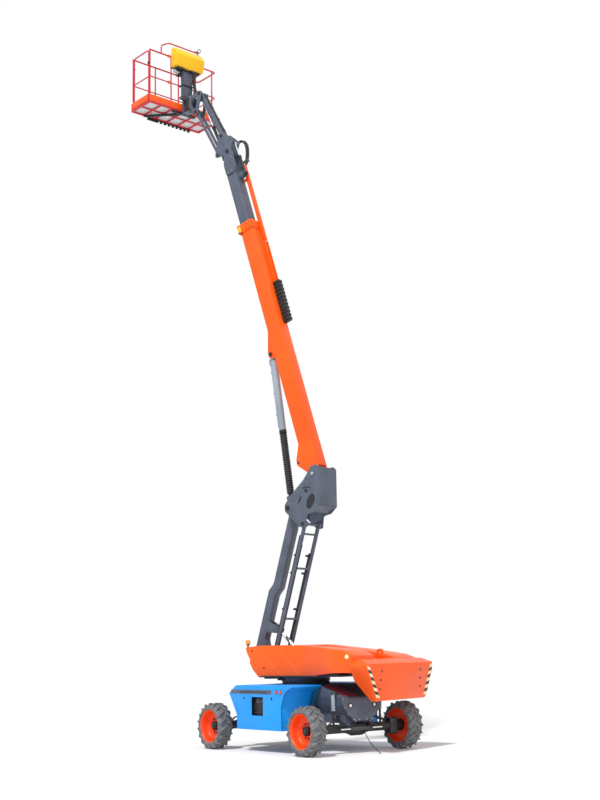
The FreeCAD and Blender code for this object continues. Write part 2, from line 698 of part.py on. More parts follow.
# ---------------------------------------------------------------- jib
def jib_bracket():
    """The levelled bracket on the fly's tip that carries both jib arms."""
    mx, mz = MOUNT_PIN
    ux, uz = JIB_UPPER
    lx, lz = JIB_LOWER
    ex, ez = LEVEL_EYE
    outline = [(mx + 70, mz - 70, 60), (mx + 75, mz + 60, 50), (ex + 45, ez + 45, 40), (ux + 60, uz + 70, 55),
               (ux - 70, uz + 70, 55), (lx - 65, lz + 30, 50), (lx - 65, lz - 60, 50)]
    plates = both_sides(lambda side: side_plate(outline, *slab(104, 120, side)))
    boss = pin(MOUNT_PIN, 60, 122)
    stubs = both_sides(lambda side: stub(JIB_LOWER, 22, 62, 125, side))
    pins = [pin(JIB_UPPER, 28, 125), pin(JIB_RAM_BASE, 20, 110)]
    shape = fuse(plates + [boss] + pins + stubs)
    return shape.cut(pin(MOUNT_PIN, 30 + PIN_GAP, 300))


def jib_arm():
    """The upper jib arm, an inverted channel drawn level."""
    x0, z0 = JIB_UPPER
    end = x0 - JIB_LENGTH
    outline = [(x0 + 58, z0 + 55, 50), (x0 + 58, z0 - 55, 50), (end - 58, z0 - 55, 50), (end - 58, z0 + 55, 50)]
    webs = both_sides(lambda side: side_plate(outline, *slab(46, 58, side)))
    top = box(end + 70, x0 - 70, -58, 58, z0 + 43, z0 + 55)
    bosses = [pin(JIB_UPPER, 42, 98), pin((end, z0), 42, 98)]
    shape = fuse(webs + [top] + bosses)
    for x in (x0, end):
        shape = shape.cut(pin((x, z0), 28 + PIN_GAP, 200))
    return raised(shape, JIB_UPPER, JIB_REST)


def jib_links():
    """The two lower jib tie bars with their cross bar, drawn level."""
    x0, z0 = JIB_LOWER
    end = x0 - JIB_LENGTH
    pieces = []
    for side in (-1, 1):
        y = side * 80
        pieces.append(box(end, x0, y - 14, y + 14, z0 - 28, z0 + 28))
        for x in (x0, end):
            pieces.append(rod(V(x, y - 14, z0), V(x, y + 14, z0), 40))
    shape = fuse(pieces)
    for x in (x0, end):
        shape = shape.cut(pin((x, z0), 22 + PIN_GAP, 200))
    return raised(shape, JIB_LOWER, JIB_REST)


def jib_ram_barrel():
    return ram_barrel(JIB_RAM_BASE, JIB_RAM_TOP, 660, 34, 28, 20, JIB_ROD_RADIUS)


def jib_ram_rod():
    return ram_rod(JIB_RAM_TOP, JIB_RAM_BASE, 680, JIB_ROD_RADIUS, 30)


def jib_head():
    """The levelled head that joins both jib arms to the platform's rotator."""
    ux, uz = HEAD_UPPER
    lx, lz = HEAD_LOWER
    rx = ROTATOR[0]
    outline = [(ux + 60, uz + 60, 50), (ux + 60, uz - 60, 50), (lx + 55, lz - 60, 50), (lx - 60, lz - 60, 50),
               (rx + 62, uz - 235), (rx + 62, uz + 20), (ux - 110, uz + 20, 30), (ux - 70, uz + 60, 40)]
    plates = both_sides(lambda side: side_plate(outline, *slab(104, 120, side)))
    web = box(rx + 60, rx + 130, -110, 110, uz - 250, uz + 20)
    drum = rod(V(rx, 0, uz - 260), V(rx, 0, uz + 20), 92)
    pins = [pin(HEAD_UPPER, 28, 125), pin(HEAD_LOWER, 22, 125)]
    shape = fuse(plates + [web, drum] + pins)
    return shape.cut(rod(V(rx, 0, uz - 300), V(rx, 0, uz + 60), ROTATOR_PIN + PIN_GAP))


# ---------------------------------------------------------------- platform
def on_platform(shape):
    """Turn a shape drawn square to the boom to the platform's rest angle."""
    turned = shape.copy()
    turned.rotate(V(ROTATOR[0], 0, 0), UP, PLATFORM_REST)
    return turned


def platform_bounds():
    edge = ROTATOR[0] - PLATFORM_EDGE
    return edge - PLATFORM_DEPTH, edge, -PLATFORM_WIDTH / 2, PLATFORM_WIDTH / 2


def platform_post():
    """The rotator's ears and the post that carries the platform."""
    x0, x1, y0, y1 = platform_bounds()
    rx, rz = ROTATOR
    ears = [plan_plate([(x1 - 40, -75), (rx + 75, -75, 70), (rx + 75, 75, 70), (x1 - 40, 75)], z, z + 24)
            for z in (rz + 26, rz - 290)]
    swivel = rod(V(rx, 0, rz - 290), V(rx, 0, rz + 50), ROTATOR_PIN)
    lower = box(x1 - 58, x1 - 2, -55, 55, PLATFORM_Z - 62, rz + 100)
    post = box(x1 + 4, x1 + 60, -95, 95, rz + 60, PLATFORM_Z + 890)
    joiner = box(x1 - 60, x1 + 60, -95, 95, rz + 50, rz + 100)
    shape = fuse(ears + [swivel, lower, post, joiner])
    return on_platform(shape)


def platform_floor():
    """Floor frame with cross bars and a mesh deck."""
    x0, x1, y0, y1 = platform_bounds()
    z = PLATFORM_Z
    frame = box(x0, x1 - 58, y0, y1, z, z + 40).cut(box(x0 + 40, x1 - 98, y0 + 40, y1 - 40, z - 1, z + 41))
    bars = []
    step = (PLATFORM_WIDTH - 40) / 6
    for index in range(1, 6):
        y = y0 + 20 + index * step
        bars.append(box(x0 + 20, x1 - 80, y - 15, y + 15, z, z + 30))
    deck = box(x0 + 10, x1 - 72, y0 + 10, y1 - 10, z + 34, z + 40)
    return on_platform(fuse([frame, deck] + bars))


def kick_plates():
    x0, x1, y0, y1 = platform_bounds()
    z = PLATFORM_Z + 40
    ring = box(x0 + 4, x1 - 66, y0 + 60, y1 - 4, z, z + 150)
    ring = ring.cut(box(x0 + 7, x1 - 69, y0 + 63, y1 - 7, z - 1, z + 151))
    ring = ring.cut(box(x0 + 30, x1 - 90, y0, y0 + 100, z - 1, z + 151))
    return on_platform(ring)


def platform_rails():
    """Tube guard rails: a bent top rail and middle rail on posts."""
    x0, x1, y0, y1 = platform_bounds()
    low = PLATFORM_Z + 40
    top = PLATFORM_Z + RAIL_HEIGHT
    middle = PLATFORM_Z + RAIL_HEIGHT / 2
    xa, xb = x0 + 30, x1 - 90
    ya, yb = y0 + 30, y1 - 30
    posts = [(xa, ya), (xb, ya), (xa, yb - 90), (xb, yb - 90), (xa, -300), (xa, 300), (xb, -420), (xb, 420)]
    pieces = [rod(V(x, y, low), V(x, y, top), POST_RADIUS) for x, y in posts]
    for z, radius in ((middle, POST_RADIUS - 2), (top, RAIL_RADIUS)):
        corners = [V(xa, ya - 20, z), V(xa, yb, z), V(xb, yb, z), V(xb, ya - 20, z)]
        pieces.append(pipe(corners, radius, 70))
    hinge_x, hinge_y = x0 + GATE_HINGE_IN, y0 + GATE_LINE_IN
    for z in (low + 170, top - 150):
        pieces.append(box(xa, hinge_x, hinge_y - 8, hinge_y + 8, z, z + 24))
        pieces.append(rod(V(hinge_x, hinge_y, z), V(hinge_x, hinge_y, z + 24), POST_RADIUS + 8))
    shape = fuse(pieces)
    hole = rod(V(hinge_x, hinge_y, low), V(hinge_x, hinge_y, top), POST_RADIUS + RUN_GAP)
    return on_platform(shape.cut(hole))


def gate():
    """The entry gate in the end of the platform: one bent tube with two cross bars."""
    x0, x1, y0, y1 = platform_bounds()
    low = PLATFORM_Z + 60
    top = PLATFORM_Z + RAIL_HEIGHT
    xa, xb = x0 + GATE_HINGE_IN, x1 - 135
    y = y0 + GATE_LINE_IN
    pieces = [pipe([V(xa, y, low), V(xa, y, top), V(xb, y, top), V(xb, y, low)], POST_RADIUS, 60)]
    for z in (low + 14, (low + top) / 2):
        pieces.append(rod(V(xa, y, z), V(xb, y, z), POST_RADIUS - 2))
    return on_platform(fuse(pieces))


def console_cover():
    """The rounded yellow cover over the platform's control console."""
    x0, x1, y0, y1 = platform_bounds()
    z = PLATFORM_Z
    outline = [(x1 - 40, z + 890, 20), (x1 + 150, z + 890, 60), (x1 + 220, z + 1150, 90), (x1 + 90, z + 1330, 90),
               (x1 - 40, z + 1330, 60)]
    return on_platform(side_plate(outline, -410, 410))


def step_bar():
    """The toothed bar under the platform's boom-side edge."""
    x0, x1, y0, y1 = platform_bounds()
    z = PLATFORM_Z
    return on_platform(box(x1 - 100, x1 - 62, -800, -60, z - 30, z))


# ---------------------------------------------------------------- the nodes
def chassis_nodes():
    nodes = {
        "chassis_frame": chassis_frame(),
        "side_cover_right": side_cover(-1),
        "side_cover_left": side_cover(1),
        "front_hood": nose(1),
        "rear_hood": nose(-1),
        "front_axle": axle(1),
        "rear_axle": axle(-1),
        "ground_strap": ground_strap(),
        "knuckle_right": knuckle(-1),
        "knuckle_left": knuckle(1),
    }
    for end, front in (("front", 1), ("rear", -1)):
        for hand, side in (("right", -1), ("left", 1)):
            nodes["tyre_%s_%s" % (end, hand)] = wheel_place(tyre(), front, side)
            nodes["rim_%s_%s" % (end, hand)] = wheel_place(rim(side), front, side)
    return nodes


def upper_nodes():
    return {
        "turntable_frame": turntable_frame(),
        "turntable_cover_right": turntable_cover(-1),
        "turntable_cover_left": turntable_cover(1),
        "engine_block": engine_block(),
        "hydraulic_tank": hydraulic_tank(),
        "counterweight": counterweight(),
        "beacon": beacon(),
        "riser_arm": riser_arm(),
        "riser_links": riser_links(),
        "riser_ram_barrel": riser_ram_barrel(),
        "riser_ram_rod": riser_ram_rod(),
        "upright": upright(),
        "boom_base": boom_base(),
        "boom_collar": boom_collar(),
        "wear_pads": wear_pads(),
        "energy_chain": energy_chain(),
        "lift_ram_barrel": lift_ram_barrel(),
        "lift_ram_rod": lift_ram_rod(),
        "fly_boom": fly_boom(),
        "hose_channel": hose_channel(),
        "level_ram_barrel": level_ram_barrel(),
        "level_ram_rod": level_ram_rod(),
        "jib_bracket": jib_bracket(),
        "jib_arm": jib_arm(),
        "jib_links": jib_links(),
        "jib_ram_barrel": jib_ram_barrel(),
        "jib_ram_rod": jib_ram_rod(),
        "jib_head": jib_head(),
        "platform_post": platform_post(),
        "platform_floor": platform_floor(),
        "kick_plates": kick_plates(),
        "platform_rails": platform_rails(),
        "gate": gate(),
        "console_cover": console_cover(),
        "step_bar": step_bar(),
    }


def write_parts():
    os.makedirs("parts", exist_ok=True)
    for name, shape in chassis_nodes().items():
        shape.exportStep("parts/%s.step" % name)
    for name, shape in upper_nodes().items():
        slewed(shape).exportStep("parts/%s.step" % name)


write_parts()
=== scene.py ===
"""Looks of the articulating boom lift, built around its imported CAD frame.

Shapes are drawn in millimetres in the local frames that the machine is built in, and each
frame's matrix turns them to metres in the row frame. GROUND is the chassis, UPPER is all
that slews, and RISER, LINKS, BOOM and JIB run along their arm: x from its foot pin, y
across the machine and z away from the arm's belly.
"""
import json
import math
import random

import bpy
import bmesh
from mathutils import Matrix, Vector


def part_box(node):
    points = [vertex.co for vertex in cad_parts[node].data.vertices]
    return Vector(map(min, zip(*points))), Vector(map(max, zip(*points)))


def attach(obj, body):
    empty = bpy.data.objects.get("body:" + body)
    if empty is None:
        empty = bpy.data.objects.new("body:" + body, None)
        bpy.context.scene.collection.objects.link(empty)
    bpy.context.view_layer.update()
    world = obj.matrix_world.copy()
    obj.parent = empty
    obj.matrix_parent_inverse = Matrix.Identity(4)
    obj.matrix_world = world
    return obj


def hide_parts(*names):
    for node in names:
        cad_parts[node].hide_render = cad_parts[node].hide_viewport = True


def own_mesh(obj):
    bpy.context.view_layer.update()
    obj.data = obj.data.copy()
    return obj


MM = 0.001

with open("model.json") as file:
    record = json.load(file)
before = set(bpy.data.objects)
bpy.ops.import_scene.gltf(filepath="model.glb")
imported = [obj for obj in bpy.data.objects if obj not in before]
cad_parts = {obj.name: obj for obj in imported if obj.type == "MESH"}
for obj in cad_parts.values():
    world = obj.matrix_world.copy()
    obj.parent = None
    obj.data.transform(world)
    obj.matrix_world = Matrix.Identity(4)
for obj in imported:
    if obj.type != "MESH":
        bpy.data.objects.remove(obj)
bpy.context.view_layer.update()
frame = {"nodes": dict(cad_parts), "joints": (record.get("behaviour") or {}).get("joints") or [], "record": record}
NODES = frame["nodes"]
BODIES = frame["record"]["behaviour"]["bodies"]
BODY_OF = {node: body for body, nodes in BODIES.items() for node in nodes}
SLOT_OF = {part["node"]: part["material_slot"] for part in frame["record"]["subparts"]}
PINS = {joint["name"]: Vector(joint["pos_m"]) for joint in frame["joints"] if "pos_m" in joint}
JOINT_AXES = {joint["name"]: Vector(joint["axis"]) for joint in frame["joints"] if "axis" in joint}

random.seed(16)

# the rest attitude in degrees
SLEW, RISER_ANGLE, BOOM_ANGLE, JIB_ANGLE, PLATFORM_TURN = 16.0, 72.5, 73.6, 62.0, -12.0
SIDES = (-1, 1)


# ------------------------------------------------------------------ material helpers
NOISE_DETAIL = 3.0
RAMP_LOW, RAMP_HIGH = 0.35, 0.65


def linear(hex_colour):
    """An sRGB hex colour as linear RGBA."""
    channels = [int(hex_colour[i:i + 2], 16) / 255 for i in (1, 3, 5)]
    curve = [c / 12.92 if c <= 0.04045 else ((c + 0.055) / 1.055) ** 2.4 for c in channels]
    return (*curve, 1.0)


def add_node(tree, kind, settings=None, links=None):
    """Adds a node, sets its inputs or properties by name, and links its inputs."""
    made = tree.nodes.new(kind)
    for name, value in (settings or {}).items():
        if name in made.inputs:
            made.inputs[name].default_value = value
        else:
            setattr(made, name, value)
    for name, source in (links or {}).items():
        tree.links.new(source, made.inputs[name])
    return made


def new_material(name):
    """An empty material with only its output, and its Principled shader."""
    material = bpy.data.materials.new(name)
    material.use_nodes = True
    tree = material.node_tree
    tree.nodes.clear()
    shader = add_node(tree, "ShaderNodeBsdfPrincipled")
    add_node(tree, "ShaderNodeOutputMaterial", links={"Surface": shader.outputs["BSDF"]})
    return material, tree, shader


def noise_colour(tree, shader, dark, light, cell_mm):
    """Varies the base colour between two hex colours over cells of a real size."""
    place = add_node(tree, "ShaderNodeTexCoord")
    noise = add_node(tree, "ShaderNodeTexNoise", {"Scale": 1 / (cell_mm * MM), "Detail": NOISE_DETAIL},
                     {"Vector": place.outputs["Object"]})
    ramp = add_node(tree, "ShaderNodeValToRGB", links={"Fac": noise.outputs["Fac"]})
    ramp.color_ramp.elements[0].position = RAMP_LOW
    ramp.color_ramp.elements[0].color = linear(dark)
    ramp.color_ramp.elements[1].position = RAMP_HIGH
    ramp.color_ramp.elements[1].color = linear(light)
    tree.links.new(ramp.outputs["Color"], shader.inputs["Base Color"])


def bump_noise(tree, shader, cell_mm, height_mm, strength=0.4):
    """A fine surface relief over cells of a real size."""
    place = add_node(tree, "ShaderNodeTexCoord")
    noise = add_node(tree, "ShaderNodeTexNoise", {"Scale": 1 / (cell_mm * MM), "Detail": 2.0},
                     {"Vector": place.outputs["Object"]})
    bump = add_node(tree, "ShaderNodeBump", {"Strength": strength, "Distance": height_mm * MM},
                    {"Height": noise.outputs["Fac"]})
    tree.links.new(bump.outputs["Normal"], shader.inputs["Normal"])


# ------------------------------------------------------------------ materials
def polyurethane_enamel(name, dark, light, roughness=0.4):
    """Sprayed two-pack enamel on steel: strong even colour, soft gloss, faint orange peel."""
    material, tree, shader = new_material(name)
    noise_colour(tree, shader, dark, light, 900)
    shader.inputs["Roughness"].default_value = roughness
    shader.inputs["IOR"].default_value = 1.45
    bump_noise(tree, shader, 6, 0.05, 0.1)
    return material


def powder_coat(name, dark, light, roughness=0.5):
    """Baked powder coat on steel: a slightly textured satin."""
    material, tree, shader = new_material(name)
    noise_colour(tree, shader, dark, light, 260)
    shader.inputs["Roughness"].default_value = roughness
    shader.inputs["IOR"].default_value = 1.45
    bump_noise(tree, shader, 3, 0.08, 0.2)
    return material


def moulded_rubber(name, dark, light, roughness=0.8):
    """Vulcanised rubber: dull, with a dusty bloom."""
    material, tree, shader = new_material(name)
    noise_colour(tree, shader, dark, light, 60)
    shader.inputs["Roughness"].default_value = roughness
    shader.inputs["IOR"].default_value = 1.52
    bump_noise(tree, shader, 2.5, 0.2, 0.3)
    return material


def moulded_plastic(name, dark, light, roughness=0.42):
    """Injection-moulded plastic: even colour with a soft sheen."""
    material, tree, shader = new_material(name)
    noise_colour(tree, shader, dark, light, 400)
    shader.inputs["Roughness"].default_value = roughness
    shader.inputs["IOR"].default_value = 1.49
    bump_noise(tree, shader, 1.5, 0.03, 0.1)
    return material


def hard_chrome(name, colour, roughness=0.18):
    """Ground and chromed rod: a bright mirror, a little uneven in tone."""
    material, tree, shader = new_material(name)
    noise_colour(tree, shader, colour, "#F0F2F4", 120)
    shader.inputs["Metallic"].default_value = 1.0
    shader.inputs["Roughness"].default_value = roughness
    return material


def dyed_lens(name, dark, light, roughness=0.18):
    """Dyed polycarbonate lens over a bright cup: clear colour that glows a little."""
    material, tree, shader = new_material(name)
    noise_colour(tree, shader, dark, light, 30)
    shader.inputs["Roughness"].default_value = roughness
    shader.inputs["IOR"].default_value = 1.58
    shader.inputs["Subsurface Weight"].default_value = 0.3
    shader.inputs["Subsurface Radius"].default_value = (0.01, 0.008, 0.004)
    return material


def expanded_mesh(name, steel, gap, pitch_mm=36.0):
    """Expanded galvanised steel mesh: a grid of bright strands over greyer openings."""
    material, tree, shader = new_material(name)
    place = add_node(tree, "ShaderNodeTexCoord")
    grid = add_node(tree, "ShaderNodeTexBrick", {
        "offset": 0.5, "Color1": linear(gap), "Color2": linear(gap), "Mortar": linear(steel),
        "Scale": 1 / (2 * pitch_mm * MM), "Mortar Size": 0.09, "Brick Width": 0.5, "Row Height": 0.25,
    }, {"Vector": place.outputs["Object"]})
    tree.links.new(grid.outputs["Color"], shader.inputs["Base Color"])
    shader.inputs["Roughness"].default_value = 0.45
    return material


FINISH = {
    "orange_paint": polyurethane_enamel("orange enamel", "#FB5802", "#FF6006"),
    "blue_paint": polyurethane_enamel("blue enamel", "#0394F8", "#079EFF"),
    "slate_paint": powder_coat("slate powder coat", "#4D5463", "#565E6E", 0.46),
    "black_paint": powder_coat("black powder coat", "#18191C", "#222428", 0.5),
    "red_paint": polyurethane_enamel("red tube enamel", "#C41E34", "#D4283E", 0.42),
    "silver_paint": polyurethane_enamel("silver blue enamel", "#8D99A8", "#9CA8B6", 0.34),
    "rim_paint": polyurethane_enamel("orange rim enamel", "#F94208", "#FF4C0E", 0.42),
    "tyre_rubber": moulded_rubber("tyre rubber", "#5E5F62", "#7A7B7E"),
    "black_rubber": moulded_rubber("black hose rubber", "#151618", "#242528", 0.6),
    "black_plastic": moulded_plastic("black nylon", "#17181A", "#232427", 0.5),
    "yellow_plastic": moulded_plastic("yellow polyethylene", "#FEBE00", "#FFC800", 0.4),
    "pad_plastic": moulded_plastic("yellow wear pad", "#E8B418", "#F0C028", 0.45),
    "amber_lens": dyed_lens("amber lens", "#F08A10", "#F9A030"),
    "chrome_rod": hard_chrome("chromed rod", "#D4D8DC"),
    "cast_iron": powder_coat("raw cast iron", "#3A3C40", "#484B50", 0.6),
}
CLEAR_LENS = dyed_lens("clear lens", "#F2E8C8", "#FBF4DC")
RED_LENS = dyed_lens("red reflector", "#E03A2A", "#F05040")
CREAM_FILM = moulded_plastic("cream reflective film", "#F4E2B0", "#FBECC0", 0.35)
DECK_MESH = expanded_mesh("expanded steel mesh", "#D4D8DA", "#9AA0A4")
GALVANISED = powder_coat("zinc plated steel", "#A8ABAE", "#BCBFC2", 0.38)
# the cover's blue enamel made lighter: painted highlight for the lit lip over the wheel
PAINTED_HIGHLIGHT_BLUE = polyurethane_enamel("blue enamel with painted highlight", "#2AA4F8", "#36B0FF")
# the cover's blue enamel darkened to teal: painted shade for the wall that stands in the wheel arch's shadow
PAINTED_SHADE_TEAL = powder_coat("teal painted shade", "#0B5670", "#10627E", 0.6)


def paint_cad_nodes():
    """Gives each CAD node the finish of its material slot."""
    for name, piece in NODES.items():
        piece.data.materials.clear()
        piece.data.materials.append(FINISH[SLOT_OF[name]])


paint_cad_nodes()


# ------------------------------------------------------------------ camera
CAMERA_PLACE = Vector((18.49, -14.25, 1.79))
CAMERA_YAW = math.radians(52.36)
CAMERA_PITCH = math.radians(11.42)
CAMERA_ROLL = math.radians(-1.30)
CAMERA_LENS_MM = 55.44
CAMERA_FILM_MM = 36.0


def camera():
    """The view: low, in front and to the right, looking slightly up."""
    data = bpy.data.cameras.new("main_camera")
    data.sensor_fit = "VERTICAL"
    data.sensor_height = CAMERA_FILM_MM
    data.lens = CAMERA_LENS_MM
    data.clip_end = 500
    view = bpy.data.objects.new("main_camera", data)
    bpy.context.scene.collection.objects.link(view)
    forward = Vector((-math.sin(CAMERA_YAW) * math.cos(CAMERA_PITCH),
                      math.cos(CAMERA_YAW) * math.cos(CAMERA_PITCH), math.sin(CAMERA_PITCH)))
    level = Vector((math.cos(CAMERA_YAW), math.sin(CAMERA_YAW), 0))
    above = level.cross(forward)
    right = level * math.cos(CAMERA_ROLL) + above * math.sin(CAMERA_ROLL)
    up = above * math.cos(CAMERA_ROLL) - level * math.sin(CAMERA_ROLL)
    turn = Matrix((right, up, -forward)).transposed()
    view.matrix_world = Matrix.Translation(CAMERA_PLACE) @ turn.to_4x4()
    bpy.context.scene.camera = view


camera()


# ------------------------------------------------------------------ the earthing strap
STRAP_DIAMETER = 0.014
STRAP_ROUTE = [(1.472, 0.080, 0.372), (1.530, 0.080, 0.352), (1.600, 0.080, 0.260), (1.720, 0.078, 0.145),
               (1.850, 0.076, 0.052), (1.965, 0.070, 0.008)]


def pulled_curve(name, points, resolution):
    """A smooth curve pulled by control points, from the first of them to the last."""
    curve = bpy.data.curves.new(name, "CURVE")
    curve.dimensions = "3D"
    spline = curve.splines.new("NURBS")
    spline.points.add(len(points) - 1)
    for point, place in zip(spline.points, points):
        point.co = (*place, 1.0)
    spline.order_u = 3
    spline.use_endpoint_u = True
    spline.resolution_u = resolution
    return curve


def ground_strap():
    """The rubber strap that trails from the steered axle to the floor."""
    curve = pulled_curve("trailing_strap", STRAP_ROUTE, 16)
    curve.bevel_depth = STRAP_DIAMETER / 2
    curve.bevel_resolution = 4
    curve.use_fill_caps = True
    curve.materials.append(FINISH["black_rubber"])
    strap = bpy.data.objects.new("trailing_strap", curve)
    bpy.context.scene.collection.objects.link(strap)
    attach(strap, "chassis")
    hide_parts("ground_strap")


ground_strap()


# ------------------------------------------------------------------ local frames
SCALE = Matrix.Scale(MM, 4)
SLEWED = Matrix.Rotation(math.radians(SLEW), 4, "Z")
GROUND = SCALE
UPPER = SLEWED @ SCALE


def arm_frame(pin, degrees, towards):
    """Axes of a raised arm whose tip points to +x or -x when it is lowered."""
    angle = math.radians(degrees)
    along = Vector((towards * math.cos(angle), 0, math.sin(angle)))
    above = Vector((-towards * math.sin(angle), 0, math.cos(angle)))
    axes = Matrix((along, Vector((0, 1, 0)), above)).transposed().to_4x4()
    return Matrix.Translation(PINS[pin]) @ SLEWED @ axes @ SCALE


def level_frame(pin):
    """Axes at a pin that are slewed with the machine and level with the floor."""
    return Matrix.Translation(PINS[pin]) @ UPPER


RISER = arm_frame("riser", RISER_ANGLE, 1)
LINKS = arm_frame("riser_links_hinge", RISER_ANGLE, 1)
BOOM = arm_frame("boom", BOOM_ANGLE, -1)
JIB = arm_frame("jib", JIB_ANGLE, -1)
UPRIGHT = level_frame("boom")
BRACKET = level_frame("bracket_hinge")
HEAD = level_frame("jib_head_hinge")
FLOOR_BELOW_ROTATOR = 228.0
PLATFORM = (Matrix.Translation(PINS["platform_rotate"] - Vector((0, 0, FLOOR_BELOW_ROTATOR * MM)))
            @ Matrix.Rotation(math.radians(SLEW + PLATFORM_TURN), 4, "Z") @ SCALE)


# ------------------------------------------------------------------ shape helpers
# corners nearer than this many metres become one
MERGE_DISTANCE = 0.00002
# in degrees: faces that turn less become one, and edges that turn more are rounded
FLAT_ANGLE, EDGE_ANGLE = 1.0, 38


def side_slab(side, inner, outer):
    """The lower and upper y of a slab between two distances from the middle, on one side."""
    return sorted((side * inner, side * outer))


def side_name(side):
    """The word for one side in the names of nodes and pieces."""
    return "right" if side < 0 else "left"


def ring_points(count, radius, shift=0.0):
    """Points spread evenly round a circle, as pairs; shift turns them by a part of a step."""
    angles = [2 * math.pi * (index + shift) / count for index in range(count)]
    return [(radius * math.cos(angle), radius * math.sin(angle)) for angle in angles]


def bridge(shape, loops):
    """Adds the faces between each closed loop of corners and the next."""
    for first, second in zip(loops, loops[1:]):
        for step in range(len(first)):
            following = (step + 1) % len(first)
            shape.faces.new((first[step], first[following], second[following], second[step]))


def block(shape, x0, x1, y0, y1, z0, z1):
    """Adds a rectangular block between its limits."""
    size = Vector((x1 - x0, y1 - y0, z1 - z0))
    middle = Vector((x0 + x1, y0 + y1, z0 + z1)) / 2
    place = Matrix.Translation(middle) @ Matrix.Diagonal((*size, 1.0))
    bmesh.ops.create_cube(shape, size=1.0, matrix=place)


def facing(centre, axis):
    """A matrix at a centre whose Z axis points along an axis."""
    turn = Vector(axis).to_track_quat("Z", "Y").to_matrix().to_4x4()
    return Matrix.Translation(Vector(centre)) @ turn


def lathe(shape, profile, place, sides=48):
    """Adds a turned form from (radius, height) points round the Z axis of a place."""
    rings = []
    for radius, height in profile:
        steps = 1 if radius < 0.01 else sides
        angles = [2 * math.pi * index / sides for index in range(steps)]
        points = [Vector((radius * math.cos(a), radius * math.sin(a), height)) for a in angles]
        rings.append([shape.verts.new(place @ point) for point in points])
    for lower, upper in zip(rings, rings[1:]):
        for index in range(sides):
            following = (index + 1) % sides
            corners = [lower[index % len(lower)], lower[following % len(lower)],
                       upper[following % len(upper)], upper[index % len(upper)]]
            shape.faces.new(dict.fromkeys(corners))


def rod(shape, start, end, radius, sides=32):
    """Adds a round bar between two points."""
    start, end = Vector(start), Vector(end)
    length = (end - start).length
    lathe(shape, [(0, 0), (radius, 0), (radius, length), (0, length)], facing(start, end - start), sides)


def pin_bar(shape, x, z, radius, half_width, sides=32):
    """Adds a round bar across the machine."""
    rod(shape, (x, -half_width, z), (x, half_width, z), radius, sides)


def disc(shape, centre, axis, radius, depth, chamfer=1.5, sides=28):
    """Adds a short round boss with a chamfered face, standing on a surface."""
    lathe(shape, [(0, 0), (radius, 0), (radius, depth - chamfer), (radius - chamfer, depth), (0, depth)],
          facing(centre, axis), sides)


def bolt(shape, centre, axis, size=10.0):
    """Adds a hexagon head on its washer; size is the thread's diameter."""
    place = facing(centre, axis)
    washer, seat = size * 1.05, size * 0.16
    head, shoulder, crown, top = size * 0.9, size * 0.72, size * 0.72, size * 0.84
    lathe(shape, [(0, 0), (washer, 0), (washer, seat), (0, seat)], place, 16)
    lathe(shape, [(0, seat), (head, seat), (head, shoulder), (crown, top), (0, top)], place, 6)


def rounded(corners, steps=5):
    """A closed outline from (a, b) or (a, b, radius) corners."""
    points = [Vector(corner[:2]) for corner in corners]
    line = []
    for index, corner in enumerate(corners):
        here = points[index]
        if len(corner) < 3:
            line.append(here)
            continue
        back = points[index - 1] - here
        forth = points[(index + 1) % len(points)] - here
        half = back.angle(forth) / 2
        reach = min(corner[2] / math.tan(half), 0.49 * back.length, 0.49 * forth.length)
        start = here + back.normalized() * reach
        end = here + forth.normalized() * reach
        for step in range(steps + 1):
            t = step / steps
            line.append(start * (1 - t) ** 2 + here * 2 * t * (1 - t) + end * t ** 2)
    return line


def prism(shape, outline, low, high, place):
    """Adds a prism on an outline; place(a, b, height) gives the point."""
    floor = [shape.verts.new(place(a, b, low)) for a, b in outline]
    roof = [shape.verts.new(place(a, b, high)) for a, b in outline]
    shape.faces.new(floor)
    shape.faces.new(roof)
    bridge(shape, [floor, roof])


def side_plate(shape, corners, y0, y1):
    """Adds a plate drawn in the side plane as (x, z)."""
    prism(shape, rounded(corners), y0, y1, lambda a, b, h: (a, h, b))


def plan_plate(shape, corners, z0, z1):
    """Adds a plate drawn in plan as (x, y)."""
    prism(shape, rounded(corners), z0, z1, lambda a, b, h: (a, b, h))


def cross_plate(shape, corners, x0, x1):
    """Adds a plate drawn across the machine as (y, z)."""
    prism(shape, rounded(corners), x0, x1, lambda a, b, h: (h, a, b))


def as_object(shape):
    """A temporary object of a shape, for a boolean."""
    bmesh.ops.recalc_face_normals(shape, faces=shape.faces)
    mesh = bpy.data.meshes.new("part")
    shape.to_mesh(mesh)
    shape.free()
    carrier = bpy.data.objects.new("part", mesh)
    bpy.context.scene.collection.objects.link(carrier)
    return carrier


def combined(first, second, operation="DIFFERENCE"):
    """The boolean of two shapes as a new shape."""
    body, tool = as_object(first), as_object(second)
    cut = body.modifiers.new("cut", "BOOLEAN")
    cut.operation = operation
    cut.object = tool
    cut.solver = "EXACT"
    graph = bpy.context.evaluated_depsgraph_get()
    mesh = bpy.data.meshes.new_from_object(body.evaluated_get(graph))
    result = bmesh.new()
    result.from_mesh(mesh)
    bpy.data.objects.remove(body)
    bpy.data.objects.remove(tool)
    bpy.data.meshes.remove(mesh)
    return result


def drawn(draw, *values):
    """A new shape holding what one draw function adds."""
    shape = bmesh.new()
    draw(shape, *values)
    return shape


def smooth_line(points, resolution=8):
    """Points along the smooth line that control points pull."""
    curve = pulled_curve("line", points, resolution)
    carrier = bpy.data.objects.new("line", curve)
    mesh = bpy.data.meshes.new_from_object(carrier)
    line = [vertex.co.copy() for vertex in mesh.vertices]
    bpy.data.objects.remove(carrier)
    bpy.data.meshes.remove(mesh)
    bpy.data.curves.remove(curve)
    return line


